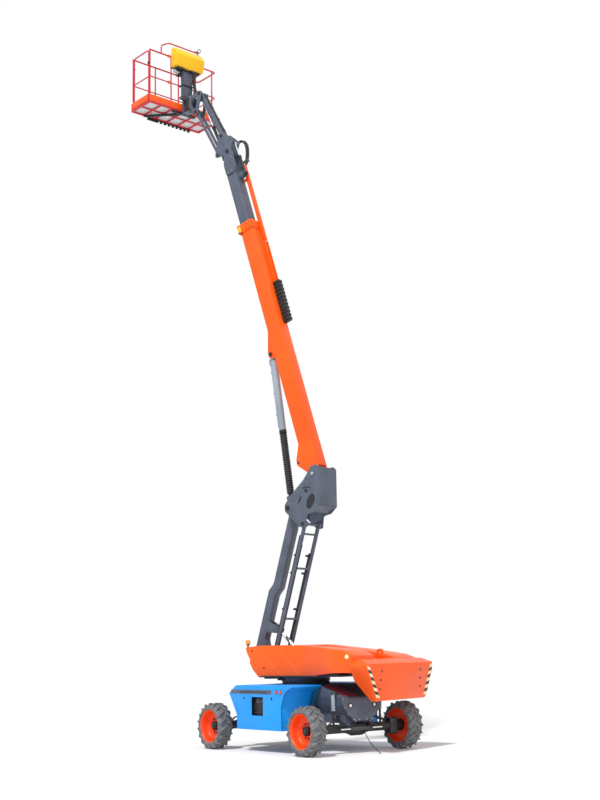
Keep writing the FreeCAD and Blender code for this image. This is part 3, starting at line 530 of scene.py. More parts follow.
def tube(shape, line, radius, sides=10):
    """Adds a round tube with closed ends along a line."""
    up = Vector((0.13, 0.31, 0.94)).normalized()
    loops = []
    for index, centre in enumerate(line):
        ahead = (line[min(index + 1, len(line) - 1)] - line[max(index - 1, 0)]).normalized()
        side = ahead.cross(up)
        if side.length < 0.05:
            side = ahead.cross(Vector((1, 0, 0)))
        side.normalize()
        up = side.cross(ahead).normalized()
        angles = [2 * math.pi * step / sides for step in range(sides)]
        points = [centre + (side * math.cos(a) + up * math.sin(a)) * radius for a in angles]
        loops.append([shape.verts.new(point) for point in points])
    bridge(shape, loops)
    shape.faces.new(loops[0])
    shape.faces.new(loops[-1])


def hose(shape, points, radius, sides=10):
    """Adds a hose along the smooth line through control points."""
    tube(shape, smooth_line([Vector(point) for point in points]), radius, sides)


def bent_tube(shape, corners, bend, radius, sides=16):
    """Adds a tube along straight runs with a round bend at each inner corner."""
    points = [Vector(corner) for corner in corners]
    line = [points[0]]
    for back, here, forth in zip(points, points[1:], points[2:]):
        start = here + (back - here).normalized() * bend
        end = here + (forth - here).normalized() * bend
        for step in range(7):
            t = step / 6
            line.append(start * (1 - t) ** 2 + here * 2 * t * (1 - t) + end * t ** 2)
    line.append(points[-1])
    tube(shape, line, radius, sides)


def round_edges(piece, width_mm, segments=2):
    """Rounds the sharp edges of a piece as a real pressed or cast edge is."""
    rounding = piece.modifiers.new("rounding", "BEVEL")
    rounding.width = width_mm * MM
    rounding.segments = segments
    rounding.limit_method = "ANGLE"
    rounding.angle_limit = math.radians(EDGE_ANGLE)
    graph = bpy.context.evaluated_depsgraph_get()
    mesh = bpy.data.meshes.new_from_object(piece.evaluated_get(graph))
    piece.modifiers.clear()
    piece.data = mesh


def make_piece(name, shape, place, slot, body, bevel=0.0, finish=None, stands_for=(), smooth=34.0):
    """Turns a drawn shape into a finished piece that rides on a body and may stand for CAD nodes."""
    shape.transform(place)
    bmesh.ops.recalc_face_normals(shape, faces=shape.faces)
    mesh = bpy.data.meshes.new(name)
    shape.to_mesh(mesh)
    shape.free()
    mesh.materials.append(finish or FINISH[slot])
    piece = bpy.data.objects.new(name, mesh)
    bpy.context.scene.collection.objects.link(piece)
    if bevel:
        round_edges(piece, bevel)
    piece.data.shade_smooth()
    piece.data.set_sharp_from_angle(angle=math.radians(smooth))
    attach(piece, body)
    if stands_for:
        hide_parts(*stands_for)
    return piece


def softened(node, width_mm):
    """Stands for a CAD node with the same form and softly rounded edges."""
    shape = bmesh.new()
    shape.from_mesh(NODES[node].data)
    bmesh.ops.remove_doubles(shape, verts=shape.verts, dist=MERGE_DISTANCE)
    bmesh.ops.dissolve_limit(shape, angle_limit=math.radians(FLAT_ANGLE), verts=shape.verts,
                             edges=shape.edges)
    make_piece(node + "_rounded", shape, Matrix.Identity(4), SLOT_OF[node], BODY_OF[node], width_mm,
               stands_for=(node,))


# ------------------------------------------------------------------ wheels
TYRE_RADIUS, TYRE_HALF, BEAD_RADIUS = 419.0, 153.0, 295.5
TREAD_RADIUS = 387.0
TREAD_PITCHES = 18
DISC_Y, WELL_RADIUS = -27.0, 273.0
NUT_CIRCLE, NUTS = 128.0, 9
HUB_CIRCLE, HUB_BOLTS = 68.0, 12


def tyre_carcass(shape):
    """The tyre's casing, with its rim guard, its bulged side and its rounded shoulder."""
    half = [(BEAD_RADIUS, 126), (303, 140), (309, 149), (316, 146), (335, 148), (352, 145), (366, 136),
            (378, 122), (385, 95), (TREAD_RADIUS, 40)]
    profile = half + [(radius, -height) for radius, height in reversed(half)] + [half[0]]
    lathe(shape, profile, facing((0, 0, 0), (0, 1, 0)), 90)


def tread_lug(shape, side, turn):
    """One slanting lug that runs from the middle of the tread round the shoulder."""
    stations = [(4, TREAD_RADIUS - 4, 0.0, 1.0, 34, -50), (48, TREAD_RADIUS - 4, 0.0, 1.0, 35, -20),
                (92, TREAD_RADIUS - 6, 0.05, 1.0, 36, 14), (120, TREAD_RADIUS - 12, 0.35, 0.94, 36, 36),
                (136, 356, 0.75, 0.66, 22, 50), (143, 330, 0.98, 0.2, 9, 56), (143, 308, 1.0, 0.0, 4, 58)]
    loops = []
    for y, radius, lean_y, lean_r, height, swing in stations:
        loop = []
        for width, lift in ((-23, 0), (-14, height), (14, height), (23, 0)):
            reach = radius + lean_r * lift
            angle = turn + (swing + width) / TYRE_RADIUS
            across = side * min(y + lean_y * lift, TYRE_HALF)
            loop.append(shape.verts.new((reach * math.sin(angle), across, reach * math.cos(angle))))
        loops.append(loop)
    bridge(shape, loops)
    shape.faces.new(loops[0])
    shape.faces.new(loops[-1])


def tyre(shape):
    """A whole tyre: the casing and its two rows of lugs, half a pitch apart."""
    tyre_carcass(shape)
    for index in range(TREAD_PITCHES):
        for side in SIDES:
            tread_lug(shape, side, 2 * math.pi * (index + side * 0.25) / TREAD_PITCHES)


def rim(shape, out):
    """The pressed rim: flanges, stepped barrel and a dished disc; out is its open side."""
    closed_side = [(295, -125), (300, -131), (292, -134), (282, -128), (WELL_RADIUS, -112),
                   (WELL_RADIUS - 6, -60), (255, -44)]
    dish = [(200, -40), (95, -38), (82, -36), (82, -26), (95, -26), (150, -30), (205, -24), (236, -6)]
    open_side = [(252, 26), (262, 80), (WELL_RADIUS, 112), (282, 128), (293, 135), (301, 131),
                 (BEAD_RADIUS, 124)]
    bead_seat = [(280, 104), (278, -100), (295, -125)]
    lathe(shape, closed_side + dish + open_side + bead_seat, facing((0, 0, 0), (0, out, 0)), 72)


def wheel(name, body):
    """One wheel: lugged tyre, dished rim, wheel nuts and valve."""
    low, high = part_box("tyre_" + name)
    centre = (Vector(low) + Vector(high)) / 2
    place = Matrix.Translation(centre) @ SCALE
    out = 1 if centre.y > 0 else -1
    make_piece("lugged_tyre_" + name, drawn(tyre), place, "tyre_rubber", body, 2.5, smooth=40,
               stands_for=("tyre_" + name,))
    make_piece("dished_rim_" + name, drawn(rim, out), place, "rim_paint", body, stands_for=("rim_" + name,))
    nuts = bmesh.new()
    for x, z in ring_points(NUTS, NUT_CIRCLE):
        bolt(nuts, (x, out * (DISC_Y - 2), z), (0, out, 0), 18)
    make_piece("wheel_nuts_" + name, nuts, place, "black_paint", body)
    valve = bmesh.new()
    rod(valve, (0, out * 20, -238), (0, out * 62, -252), 5, 10)
    make_piece("valve_" + name, valve, place, "black_rubber", body)


def hub_face(name, body):
    """The hub's stepped cover with its ring of bolts, in the dish of one rim."""
    low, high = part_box("rim_" + name)
    centre = (Vector(low) + Vector(high)) / 2
    out = 1 if centre.y > 0 else -1
    place = Matrix.Translation(centre) @ SCALE
    shape = bmesh.new()
    lathe(shape, [(0, 14), (79, 14), (79, 26), (74, 30), (60, 30), (56, 46), (34, 50), (30, 46), (0, 46)],
          facing((0, 0, 0), (0, out, 0)), 40)
    for x, z in ring_points(HUB_BOLTS, HUB_CIRCLE, 0.5):
        bolt(shape, (x, out * 30, z), (0, out, 0), 7)
    make_piece("hub_face_" + name, shape, place, "black_paint", body, 1.0)


WHEELS = {"front_right": "knuckle_right", "front_left": "knuckle_left",
          "rear_right": "chassis", "rear_left": "chassis"}
for wheel_name, hub_body in WHEELS.items():
    wheel(wheel_name, "wheel_" + wheel_name)
    hub_face(wheel_name, hub_body)


# ------------------------------------------------------------------ chassis
COVER_INNER_Y, COVER_OUTER_Y, SKIN = 475.0, 1100.0, 25.0
COVER_TOP, COVER_BOTTOM = 1165.0, 390.0
PANEL_X, PANEL_Z, PANEL_DEPTH = (-195.0, 155.0), (637.0, 960.0), 60.0
BAND_X, BAND_Z = (-850.0, 400.0), (1010.0, 1088.0)
LOUVRES, LOUVRE_START, LOUVRE_PITCH, LOUVRE_LENGTH = 14, -560.0, 62.0, 40.0
HOOD_FACE = 1600.0
LAMP_Y, LAMP_Z, LAMP_RADIUS = 270.0, 812.0, 36.0
AXLE_X, AXLE_Z = 1400.0, 419.0
LEVELLER_X, LEVELLER_Y = 1440.0, 530.0
STEER_X, KINGPIN_Y = 1550.0, 880.0


def end_frame(front):
    """The name and the frame of one end of the chassis; the rear is the front turned round."""
    if front > 0:
        return "front", GROUND
    return "rear", Matrix.Rotation(math.pi, 4, "Z") @ GROUND


def side_cover(side):
    """A pressed cover whose top reaches out over the steered wheel, with its arch wall."""
    low, high = side_slab(side, COVER_INNER_Y, COVER_OUTER_Y)
    outline = [(-664, COVER_BOTTOM, 25), (705, COVER_BOTTOM, 25), (705, 800, 120), (815, 1050, 150),
               (1060, COVER_TOP - 25), (1060, COVER_TOP, 8), (-690, COVER_TOP, 60), (-911, 1022, 20),
               (-664, 640, 120)]
    skin = drawn(side_plate, outline, low, high)
    low, high = side_slab(side, COVER_INNER_Y - 10, COVER_OUTER_Y - SKIN)
    hollow = drawn(side_plate, [(-639, 365), (680, 365), (680, 806, 110), (785, 1062, 130), (870, 1140),
                                (-690, 1140, 40), (-872, 1026, 15), (-639, 650, 100)], low, high)
    shape = combined(skin, hollow)
    name = "pressed_cover_" + side_name(side)
    if side < 0:
        window = drawn(block, *PANEL_X, -COVER_OUTER_Y - 10, 40 - COVER_OUTER_Y, *PANEL_Z)
        shape = combined(shape, window)
    make_piece(name, shape, GROUND, "blue_paint", "chassis", 9.0,
               stands_for=("side_cover_" + side_name(side),))
    arch = bmesh.new()
    low, high = side_slab(side, COVER_INNER_Y, COVER_INNER_Y + 20)
    side_plate(arch, [(690, 560), (690, 790), (838, 820), (1040, 1138), (690, 1138)], low, high)
    # painted shade: the arch wall is the cover's blue steel, coloured dark teal for the shadow it stands in
    make_piece(name + "_arch", arch, GROUND, "blue_paint", "chassis", finish=PAINTED_SHADE_TEAL)


def arch_flange(side):
    """The folded lip of a cover over the wheel, and the rubber edging of its arch."""
    flange = bmesh.new()
    low, high = side_slab(side, COVER_INNER_Y + 30, COVER_OUTER_Y - 60)
    side_plate(flange, [(812, 1076, 20), (1048, 1138), (1048, 1146), (804, 1090, 20)], low, high)
    # painted highlight: the lip is the cover's own blue, made lighter where light falls on it
    make_piece("arch_flange_" + side_name(side), flange, GROUND, "blue_paint", "chassis", 2.0,
               finish=PAINTED_HIGHLIGHT_BLUE)
    edge = bmesh.new()
    y = side * (COVER_OUTER_Y - 4)
    route = rounded([(705, 420), (705, 800, 120), (815, 1050, 150), (1058, 1142)])
    tube(edge, [Vector((x, y, z)) for x, z in route], 7, 8)
    make_piece("arch_edging_" + side_name(side), edge, GROUND, "black_rubber", "chassis")


def marker_band(side):
    """The dark band along a cover's shoulder, with its louvres and its round reflectors."""
    face = side * COVER_OUTER_Y
    band = bmesh.new()
    corners = [(BAND_X[0], BAND_Z[0] + 6, 20), (BAND_X[1], BAND_Z[0], 14),
               (BAND_X[1] + 24, BAND_Z[1], 14), (BAND_X[0] + 14, BAND_Z[1], 20)]
    side_plate(band, corners, face - side * 4, face + side * 2.5)
    suffix = "_" + side_name(side)
    make_piece("marker_band" + suffix, band, GROUND, "slate_paint", "chassis", 1.0)
    slots = bmesh.new()
    low, high = side_slab(side, COVER_OUTER_Y + 1, COVER_OUTER_Y + 4.5)
    for index in range(LOUVRES):
        x = LOUVRE_START + index * LOUVRE_PITCH
        block(slots, x, x + LOUVRE_LENGTH, low, high, BAND_Z[0] + 22, BAND_Z[0] + 52)
    make_piece("band_louvres" + suffix, slots, GROUND, "black_plastic", "chassis", 1.0)
    reflectors = bmesh.new()
    rings = bmesh.new()
    for x in (560, 690):
        disc(rings, (x, face, 1050), (0, side, 0), 40, 6, 2)
        disc(reflectors, (x, face + side * 4, 1050), (0, side, 0), 32, 6, 3)
    make_piece("reflector_rings" + suffix, rings, GROUND, "black_plastic", "chassis")
    make_piece("reflectors" + suffix, reflectors, GROUND, "amber_lens", "chassis", finish=RED_LENS)


def ground_panel():
    """The ground controls in the right cover's window, and the latches of that cover."""
    back = PANEL_DEPTH - COVER_OUTER_Y
    tray = bmesh.new()
    block(tray, PANEL_X[0] - 20, PANEL_X[1] + 20, back, back + 12, PANEL_Z[0] - 20, PANEL_Z[1] + 20)
    for x in (PANEL_X[0] - 8, PANEL_X[1]):
        block(tray, x, x + 8, 3 - COVER_OUTER_Y, back + 4, PANEL_Z[0] - 8, PANEL_Z[1] + 8)
    for z in (PANEL_Z[0] - 8, PANEL_Z[1]):
        block(tray, PANEL_X[0] - 8, PANEL_X[1] + 8, 3 - COVER_OUTER_Y, back + 4, z, z + 8)
    make_piece("control_pocket", tray, GROUND, "black_plastic", "chassis", 2.0)
    keys = bmesh.new()
    block(keys, -115, 15, back - 14, back, 850, 925)
    disc(keys, (75, back, 890), (0, -1, 0), 26, 30, 4)
    for row in range(3):
        for column in range(4):
            spot = (PANEL_X[0] + 60 + column * 76, back, PANEL_Z[0] + 45 + row * 58)
            disc(keys, spot, (0, -1, 0), 15, 14, 3, 20)
            rod(keys, spot, (spot[0], back - 34, spot[2] + 6), 5, 10)
    make_piece("control_switches", keys, GROUND, "black_plastic", "chassis", 1.5, finish=FINISH["cast_iron"])
    latch = bmesh.new()
    for x in (-430, 420):
        disc(latch, (x, -COVER_OUTER_Y, 940), (0, -1, 0), 22, 5, 2)
        block(latch, x - 4, x + 4, -COVER_OUTER_Y - 12, -COVER_OUTER_Y, 926, 954)
    make_piece("cover_latches_right", latch, GROUND, "black_plastic", "chassis", 1.0)


def hood(front):
    """A tapered hood over an axle, with its lamp pockets and folded edges."""
    name, place = end_frame(front)
    flank = [(775, 870), (1200, 600), (1560, 530, 30), (HOOD_FACE, 560, 20), (HOOD_FACE, 955, 30),
             (960, 1155, 60), (775, 1155)]
    across = [(-150, 520, 20), (150, 520, 20), (345, 690, 40), (430, 810, 60), (470, 960, 30),
              (470, 1200), (-470, 1200), (-470, 960, 30), (-430, 810, 60), (-345, 690, 40)]
    body = drawn(side_plate, flank, -500, 500)
    shape = combined(body, drawn(cross_plate, across, 700, 1700), "INTERSECT")
    for side in SIDES:
        start, end = (HOOD_FACE - 25, side * LAMP_Y, LAMP_Z), (HOOD_FACE + 50, side * LAMP_Y, LAMP_Z)
        shape = combined(shape, drawn(rod, start, end, LAMP_RADIUS + 6))
    make_piece("folded_hood_" + name, shape, place, "slate_paint", "chassis", 7.0,
               stands_for=(name + "_hood",))
    lenses, cups, trim = bmesh.new(), bmesh.new(), bmesh.new()
    for side in SIDES:
        seat = facing((HOOD_FACE - 2, side * LAMP_Y, LAMP_Z), (1, 0, 0))
        lathe(cups, [(30, 0), (LAMP_RADIUS + 9, 0), (LAMP_RADIUS + 9, 8), (LAMP_RADIUS - 2, 10), (30, 4)],
              seat, 36)
        lathe(lenses, [(0, 10), (20, 8), (LAMP_RADIUS - 3, 0), (LAMP_RADIUS - 3, -14), (0, -14)], seat, 36)
        for y, z in ((440, 930), (405, 775), (330, 665), (160, 545)):
            bolt(trim, (HOOD_FACE, side * y, z), (1, 0, 0), 9)
        for y in (80, 205):
            disc(trim, (HOOD_FACE, side * y, 570), (1, 0, 0), 12, 5)
    make_piece("lamp_bezels_" + name, cups, place, "black_plastic", "chassis")
    make_piece("lamp_lenses_" + name, lenses, place, "amber_lens", "chassis", finish=CLEAR_LENS)
    make_piece("hood_screws_" + name, trim, place, "cast_iron", "chassis", finish=GALVANISED)
    # two raised red strips along the hood's sloping top
    ribs = bmesh.new()
    for y0, y1 in ((-330, -262), (-150, -120)):
        plate = [(985, 1149), (1560, 969), (1560, 976), (985, 1156)]
        side_plate(ribs, plate, y0, y1)
    make_piece("hood_red_strips_" + name, ribs, place, "red_paint", "chassis", 1.5)


def axle_dressing(front):
    """The turned axle tube with its bulged middle and bolts, two levelling rams and the hoses."""
    name, place = end_frame(front)
    tube_shape = bmesh.new()
    half = [(0, 740), (92, 740), (92, 722), (78, 716), (76, 300), (84, 220), (122, 125), (128, 110)]
    profile = [(radius, -height) for radius, height in half] + half[::-1]
    lathe(tube_shape, profile, facing((AXLE_X, 0, AXLE_Z), (0, 1, 0)), 48)
    for x, z in ring_points(10, 112):
        bolt(tube_shape, (AXLE_X + x, 122, AXLE_Z + z), (0, 1, 0), 9)
    make_piece("axle_tube_" + name, tube_shape, place, "black_paint", "chassis", 2.0)
    barrels, mounts = bmesh.new(), bmesh.new()
    for side in SIDES:
        x, y = LEVELLER_X, side * LEVELLER_Y
        rod(barrels, (x, y, 745), (x, y, 1002), 33)
        disc(barrels, (x, y, 995), (0, 0, 1), 38, 16, 3)
        disc(barrels, (x, y, 748), (0, 0, -1), 38, 20, 3)
        rod(mounts, (x, y, 500), (x, y, 745), 20, 20)
        block(mounts, x - 35, x + 35, *side_slab(side, 488, 572), 1006, 1024)
        block(mounts, x - 35, x + 35, *side_slab(side, 440, 572), 452, 500)
        block(mounts, x - 20, x + 20, *side_slab(side, 420, 500), 930, 1020)
    make_piece("levelling_rams_" + name, barrels, place, "silver_paint", "chassis", 1.5)
    make_piece("levelling_ram_rods_" + name, mounts, place, "black_paint", "chassis", 3.0)
    hoses = bmesh.new()
    for side in SIDES:
        for offset in (0, 34, 68):
            hose(hoses, [(1330 + offset, side * 380, 640), (1440 + offset, side * 430, 600 - offset),
                         (1470 + offset / 2, side * (560 + offset / 2), 560),
                         (1450, side * 660, 500 - offset / 3), (1420, side * 730, 455)], 11, 10)
        hose(hoses, [(1545, side * 120, 560), (1590, side * 180, 500), (1570, side * 300, 470),
                     (1500, side * 420, 500), (1470, side * 520, 470)], 12, 10)
    make_piece("axle_hoses_" + name, hoses, place, "black_rubber", "chassis")


def steering_dressing():
    """The steering ram across the axle, its two rods, and the caps and plates at the kingpins."""
    shape = bmesh.new()
    rod(shape, (STEER_X, -215, AXLE_Z), (STEER_X, 215, AXLE_Z), 38)
    for side in SIDES:
        disc(shape, (STEER_X, side * 205, AXLE_Z), (0, side, 0), 44, 26, 4)
        block(shape, STEER_X - 110, STEER_X, *side_slab(side, 130, 172), AXLE_Z - 24, AXLE_Z + 24)
    make_piece("steering_ram", shape, GROUND, "cast_iron", "chassis", 3.0)
    rods = bmesh.new()
    for side in SIDES:
        rod(rods, (STEER_X, side * 215, AXLE_Z), (STEER_X, side * 470, AXLE_Z), 17, 20)
    make_piece("steering_rods", rods, GROUND, "chrome_rod", "chassis")
    caps = bmesh.new()
    for side in SIDES:
        for z, axis in ((AXLE_Z + 140, 1), (AXLE_Z - 140, -1)):
            disc(caps, (AXLE_X, side * KINGPIN_Y, z), (0, 0, axis), 40, 10, 3)
            for angle in (0.8, 2.4, 4.0, 5.6):
                x, y = AXLE_X + 27 * math.cos(angle), side * KINGPIN_Y + 27 * math.sin(angle)
                bolt(caps, (x, y, z + axis * 10), (0, 0, axis), 7)
        block(caps, 1452, 1475, *side_slab(side, 742, 905), 300, 545)
        block(caps, 1450, 1462, *side_slab(side, 800, 850), 340, 500)
    make_piece("kingpin_caps", caps, GROUND, "cast_iron", "chassis", 3.0)


for cover_side in SIDES:
    side_cover(cover_side)
    arch_flange(cover_side)
    marker_band(cover_side)
ground_panel()
for end in (1, -1):
    hood(end)
    axle_dressing(end)
steering_dressing()


# ------------------------------------------------------------------ turntable
TAIL_X, TAIL_FACE, TROUGH_Y, DECK_Z = 1740.0, 2080.0, 345.0, 1320.0
HAZARD_STEPS = 9
SLEW_BOLTS, SLEW_BOLT_CIRCLE = 36, 405.0
SLEW_TEETH, SLEW_TOOTH_CIRCLE = 96, 430.0
# each cover's top edge falls towards the tail: its height there, at x 1560 and at x 900
REAR_EDGE = {-1: (1660, 1752, 1815), 1: (1600, 1660, 1770)}


def cover_plan(side, x_front, x_rear, inset, y_inner):
    """The plan outline of one turntable cover, drawn inset by a distance."""
    return [(x_front, side * y_inner), (x_rear, side * y_inner), (x_rear, side * (1040 - inset)),
            (1300, side * (1000 - inset), 300), (500, side * (680 - inset), 400),
            (x_front, side * (540 - inset))]


def flank_y(x):
    """Distance from the middle of a cover's straight flank."""
    return 540 + (x + 1060) * 140 / 1560


def turntable_cover(side):
    """A hollow swept cover along one side of the turntable."""
    low, high = side_slab(side, TROUGH_Y, 1100)
    tail = REAR_EDGE[side]
    outside = [(-650, 1285, 25), (-560, DECK_Z), (740, DECK_Z), (1330, 1368, 60), (TAIL_X, 1368),
               (TAIL_X, tail[0], 40), (1560, tail[1], 250), (900, tail[2], 400), (200, 1862, 300),
               (-600, 1865, 120), (-985, 1840, 25), (-950, 1735, 60), (-872, 1605, 20),
               (-884, 1555, 40), (-800, 1420, 200)]
    hollow = [(-560, 1270), (720, 1270), (1320, 1330), (1690, 1330), (1690, tail[0] - 30, 40),
              (900, tail[2] - 40, 300), (200, 1825, 300), (-600, 1825, 100), (-900, 1805, 30),
              (-830, 1590, 40)]
    outer_plan = cover_plan(side, -1060, TAIL_X, 0, TROUGH_Y - 10)
    inner_plan = cover_plan(side, -1000, TAIL_X - 50, 30, TROUGH_Y + 20)
    shape = combined(drawn(side_plate, outside, low, high), drawn(plan_plate, outer_plan, 1200, 2000),
                     "INTERSECT")
    inside = combined(drawn(side_plate, hollow, low - 20, high + 20),
                      drawn(plan_plate, inner_plan, 1200, 2000), "INTERSECT")
    shape = combined(shape, inside)
    suffix = side_name(side)
    make_piece("swept_cover_" + suffix, shape, UPPER, "orange_paint", "turntable", 12.0,
               stands_for=("turntable_cover_" + suffix,), smooth=30)
    # painted shade: a black strip along the cover's bottom edge, where the deck's edge lies in shadow
    shade_strip = bmesh.new()
    plan = [(-600, side * (flank_y(-600) - 26)), (480, side * (flank_y(480) - 26)), (900, side * 815),
            (900, side * 842), (480, side * (flank_y(480) + 1)), (-600, side * (flank_y(-600) + 1))]
    plan_plate(shade_strip, plan, 1292, 1321)
    make_piece("cover_shade_strip_" + suffix, shade_strip, UPPER, "black_rubber", "turntable", 4.0)
    ribs = bmesh.new()
    for line in ([(-563, 1696), (-365, 1550), (-195, 1405), (-62, 1322)],
                 [(-136, 1779), (80, 1598), (269, 1403), (330, 1324)]):
        hose(ribs, [(x, side * (flank_y(x) - 4), z) for x, z in line], 6, 10)
    make_piece("cover_creases_" + suffix, ribs, UPPER, "orange_paint", "turntable")
    screws = bmesh.new()
    for x, z in ((-816, 1772), (-518, 1461)):
        disc(screws, (x, side * (flank_y(x) - 2), z), (0.09, side, 0), 17, 7)
        bolt(screws, (x, side * (flank_y(x) + 4), z), (0.09, side, 0), 9)
    make_piece("cover_screws_" + suffix, screws, UPPER, "black_plastic", "turntable")
    lamp, glass = bmesh.new(), bmesh.new()
    lamp_height = (tail[0] + tail[1]) / 2 - 66
    spot, out = (1640, side * 1026, lamp_height), (0.09, side, 0.1)
    disc(lamp, spot, out, 42, 12, 3)
    disc(glass, (1641, side * 1036, lamp_height + 1), out, 34, 8, 4)
    make_piece("side_lamp_rim_" + suffix, lamp, UPPER, "pad_plastic", "turntable")
    make_piece("side_lamp_" + suffix, glass, UPPER, "amber_lens", "turntable", finish=CLEAR_LENS)


def counterweight():
    """The cast counterweight, narrower below, with its closing block and lifting eye."""
    flank = [(TAIL_X, 1240, 40), (1955, 885, 50), (2050, 885, 30), (TAIL_FACE, 960, 60),
             (TAIL_FACE, 1510, 25), (1900, 1585, 80), (TAIL_X, 1590)]
    face = [(-785, 870, 30), (785, 870, 30), (1105, 1480, 30), (1000, 1575, 60), (980, 1660),
            (-980, 1660), (-1000, 1575, 60), (-1105, 1480, 30)]
    plan = [(TAIL_X, -1110), (TAIL_FACE, -1085, 30), (TAIL_FACE, 1085, 30), (TAIL_X, 1110)]
    shape = combined(drawn(side_plate, flank, -1120, 1120), drawn(cross_plate, face, TAIL_X - 50, 2200),
                     "INTERSECT")
    shape = combined(shape, drawn(plan_plate, plan, 800, 1700), "INTERSECT")
    make_piece("cast_counterweight", shape, UPPER, "orange_paint", "turntable", 14.0,
               stands_for=("counterweight",))
    closing = bmesh.new()
    side_plate(closing, [(1520, DECK_Z), (TAIL_X + 20, DECK_Z), (TAIL_X + 20, 1575), (1580, 1560, 60),
                         (1520, 1500, 30)], -325, 325)
    for y in (-200, 0, 200):
        disc(closing, (1640, y, 1564), (0, 0, 1), 34, 10, 3)
    make_piece("tail_closing_block", closing, UPPER, "orange_paint", "turntable", 8.0)
    eye = drawn(side_plate, [(1578, 1555), (1722, 1555), (1722, 1765, 70), (1578, 1765, 70)], -15, 15)
    eye = combined(eye, drawn(pin_bar, 1650, 1700, 26, 40))
    make_piece("lifting_eye", eye, UPPER, "orange_paint", "turntable", 4.0)


def hazard_strips():
    """A cream and black banded strip down each edge of the tail, and the tail's bolts."""
    cream, black = bmesh.new(), bmesh.new()
    top_outer, top_inner, low_outer, low_inner = (1080, 1484), (1000, 1478), (822, 948), (716, 942)
    for side in SIDES:
        for index in range(HAZARD_STEPS):
            start, end = index / HAZARD_STEPS, (index + 1) / HAZARD_STEPS
            corners = []
            for t, outer in ((start, True), (end, True), (end, False), (start, False)):
                first, last = (top_outer, low_outer) if outer else (top_inner, low_inner)
                slip = 0.0 if outer else 0.03
                t = min(max(t + slip, 0), 1)
                y = first[0] * (1 - t) + last[0] * t
                z = first[1] * (1 - t) + last[1] * t
                corners.append((side * y, z))
            shape = cream if index % 2 == 0 else black
            cross_plate(shape, corners, TAIL_FACE - 2, TAIL_FACE + 1.5)
    make_piece("reflective_bands", cream, UPPER, "pad_plastic", "turntable", finish=CREAM_FILM)
    make_piece("black_bands", black, UPPER, "black_plastic", "turntable")
    bolts = bmesh.new()
    for y, z in ((-621, 1388), (-662, 1239), (-703, 1091), (640, 1388), (625, 1239), (607, 1091)):
        disc(bolts, (TAIL_FACE, y, z), (1, 0, 0), 19, 4)
        bolt(bolts, (TAIL_FACE + 3, y, z), (1, 0, 0), 11)
    make_piece("tail_bolts", bolts, UPPER, "black_paint", "turntable")


def beacon():
    """The amber beacon on its black foot at the right cover's front corner."""
    foot, lens = bmesh.new(), bmesh.new()
    place = facing((-952, -508, 1836), (0, 0, 1))
    lathe(foot, [(0, -6), (30, -6), (30, 4), (16, 10), (14, 40), (34, 44), (36, 58), (0, 58)], place, 32)
    lathe(lens, [(0, 58), (38, 58), (43, 74), (43, 104), (38, 126), (26, 140), (12, 146), (0, 147)],
          place, 36)
    make_piece("beacon_foot", foot, UPPER, "black_plastic", "turntable")
    make_piece("beacon_dome", lens, UPPER, "amber_lens", "turntable", stands_for=("beacon",))


def slew_dressing():
    """The slew ring's teeth and bolts, the swing motor and the hoses up to the riser."""
    shape = bmesh.new()
    for x, y in ring_points(SLEW_BOLTS, SLEW_BOLT_CIRCLE):
        bolt(shape, (x, y, 1215), (0, 0, -1), 14)
    rod(shape, (-270, -330, 1232), (-270, -330, 1290), 112, 40)
    block(shape, -610, -240, -470, -380, 1262, 1291)
    make_piece("swing_motor", shape, UPPER, "black_paint", "turntable", 3.0)
    teeth = bmesh.new()
    for x, y in ring_points(SLEW_TEETH, SLEW_TOOTH_CIRCLE):
        rod(teeth, (x, y, 1140), (x, y, 1202), 8, 8)
    make_piece("slew_ring_teeth", teeth, GROUND, "cast_iron", "chassis")
    loops = bmesh.new()
    for y, radius in ((-130, 16), (-170, 14), (140, 16), (180, 13)):
        hose(loops, [(-300, y, 1330), (-400, y, 1400), (-520, y, 1480), (-610, y, 1590),
                     (-640, y, 1700)], radius)
    make_piece("riser_foot_hoses", loops, UPPER, "black_rubber", "turntable")


for cover_side in SIDES:
    turntable_cover(cover_side)
counterweight()
hazard_strips()
beacon()
slew_dressing()


# ------------------------------------------------------------------ riser and upright
RISER_LENGTH, LINK_Y = 2790.0, 215.0


def riser_arm():
    """The dog-legged riser arm with its bosses, its cylinder ears and the seams at its bend."""
    top = RISER_LENGTH
    shape = drawn(side_plate, [(-80, 165, 120), (-80, -80, 75), (110, -80, 60), (260, 0, 100), (1110, 0, 100),
                               (1260, -75, 100), (top + 85, -75, 70), (top + 85, 90, 70), (1310, 90, 100),
                               (1160, 165, 100)], -90, 90)
    make_piece("riser_box", shape, RISER, "slate_paint", "riser", 10.0, stands_for=("riser_arm",))
    bosses = bmesh.new()
    pin_bar(bosses, 0, 0, 70, 319, 48)
    pin_bar(bosses, top, 0, 70, 254, 48)
    for side in SIDES:
        side_plate(bosses, [(390, 20), (610, 20), (550, -278, 45), (450, -278, 45)], *side_slab(side, 65, 85))
    make_piece("riser_bosses", bosses, RISER, "slate_paint", "riser", 3.0)
    seams = bmesh.new()
    for side in SIDES:
        for x in (1135, 1285):
            hose(seams, [(x, side * 89, -10), (x + 20, side * 90, 40), (x + 30, side * 89, 110)], 5, 8)
    make_piece("riser_seams", seams, RISER, "slate_paint", "riser")


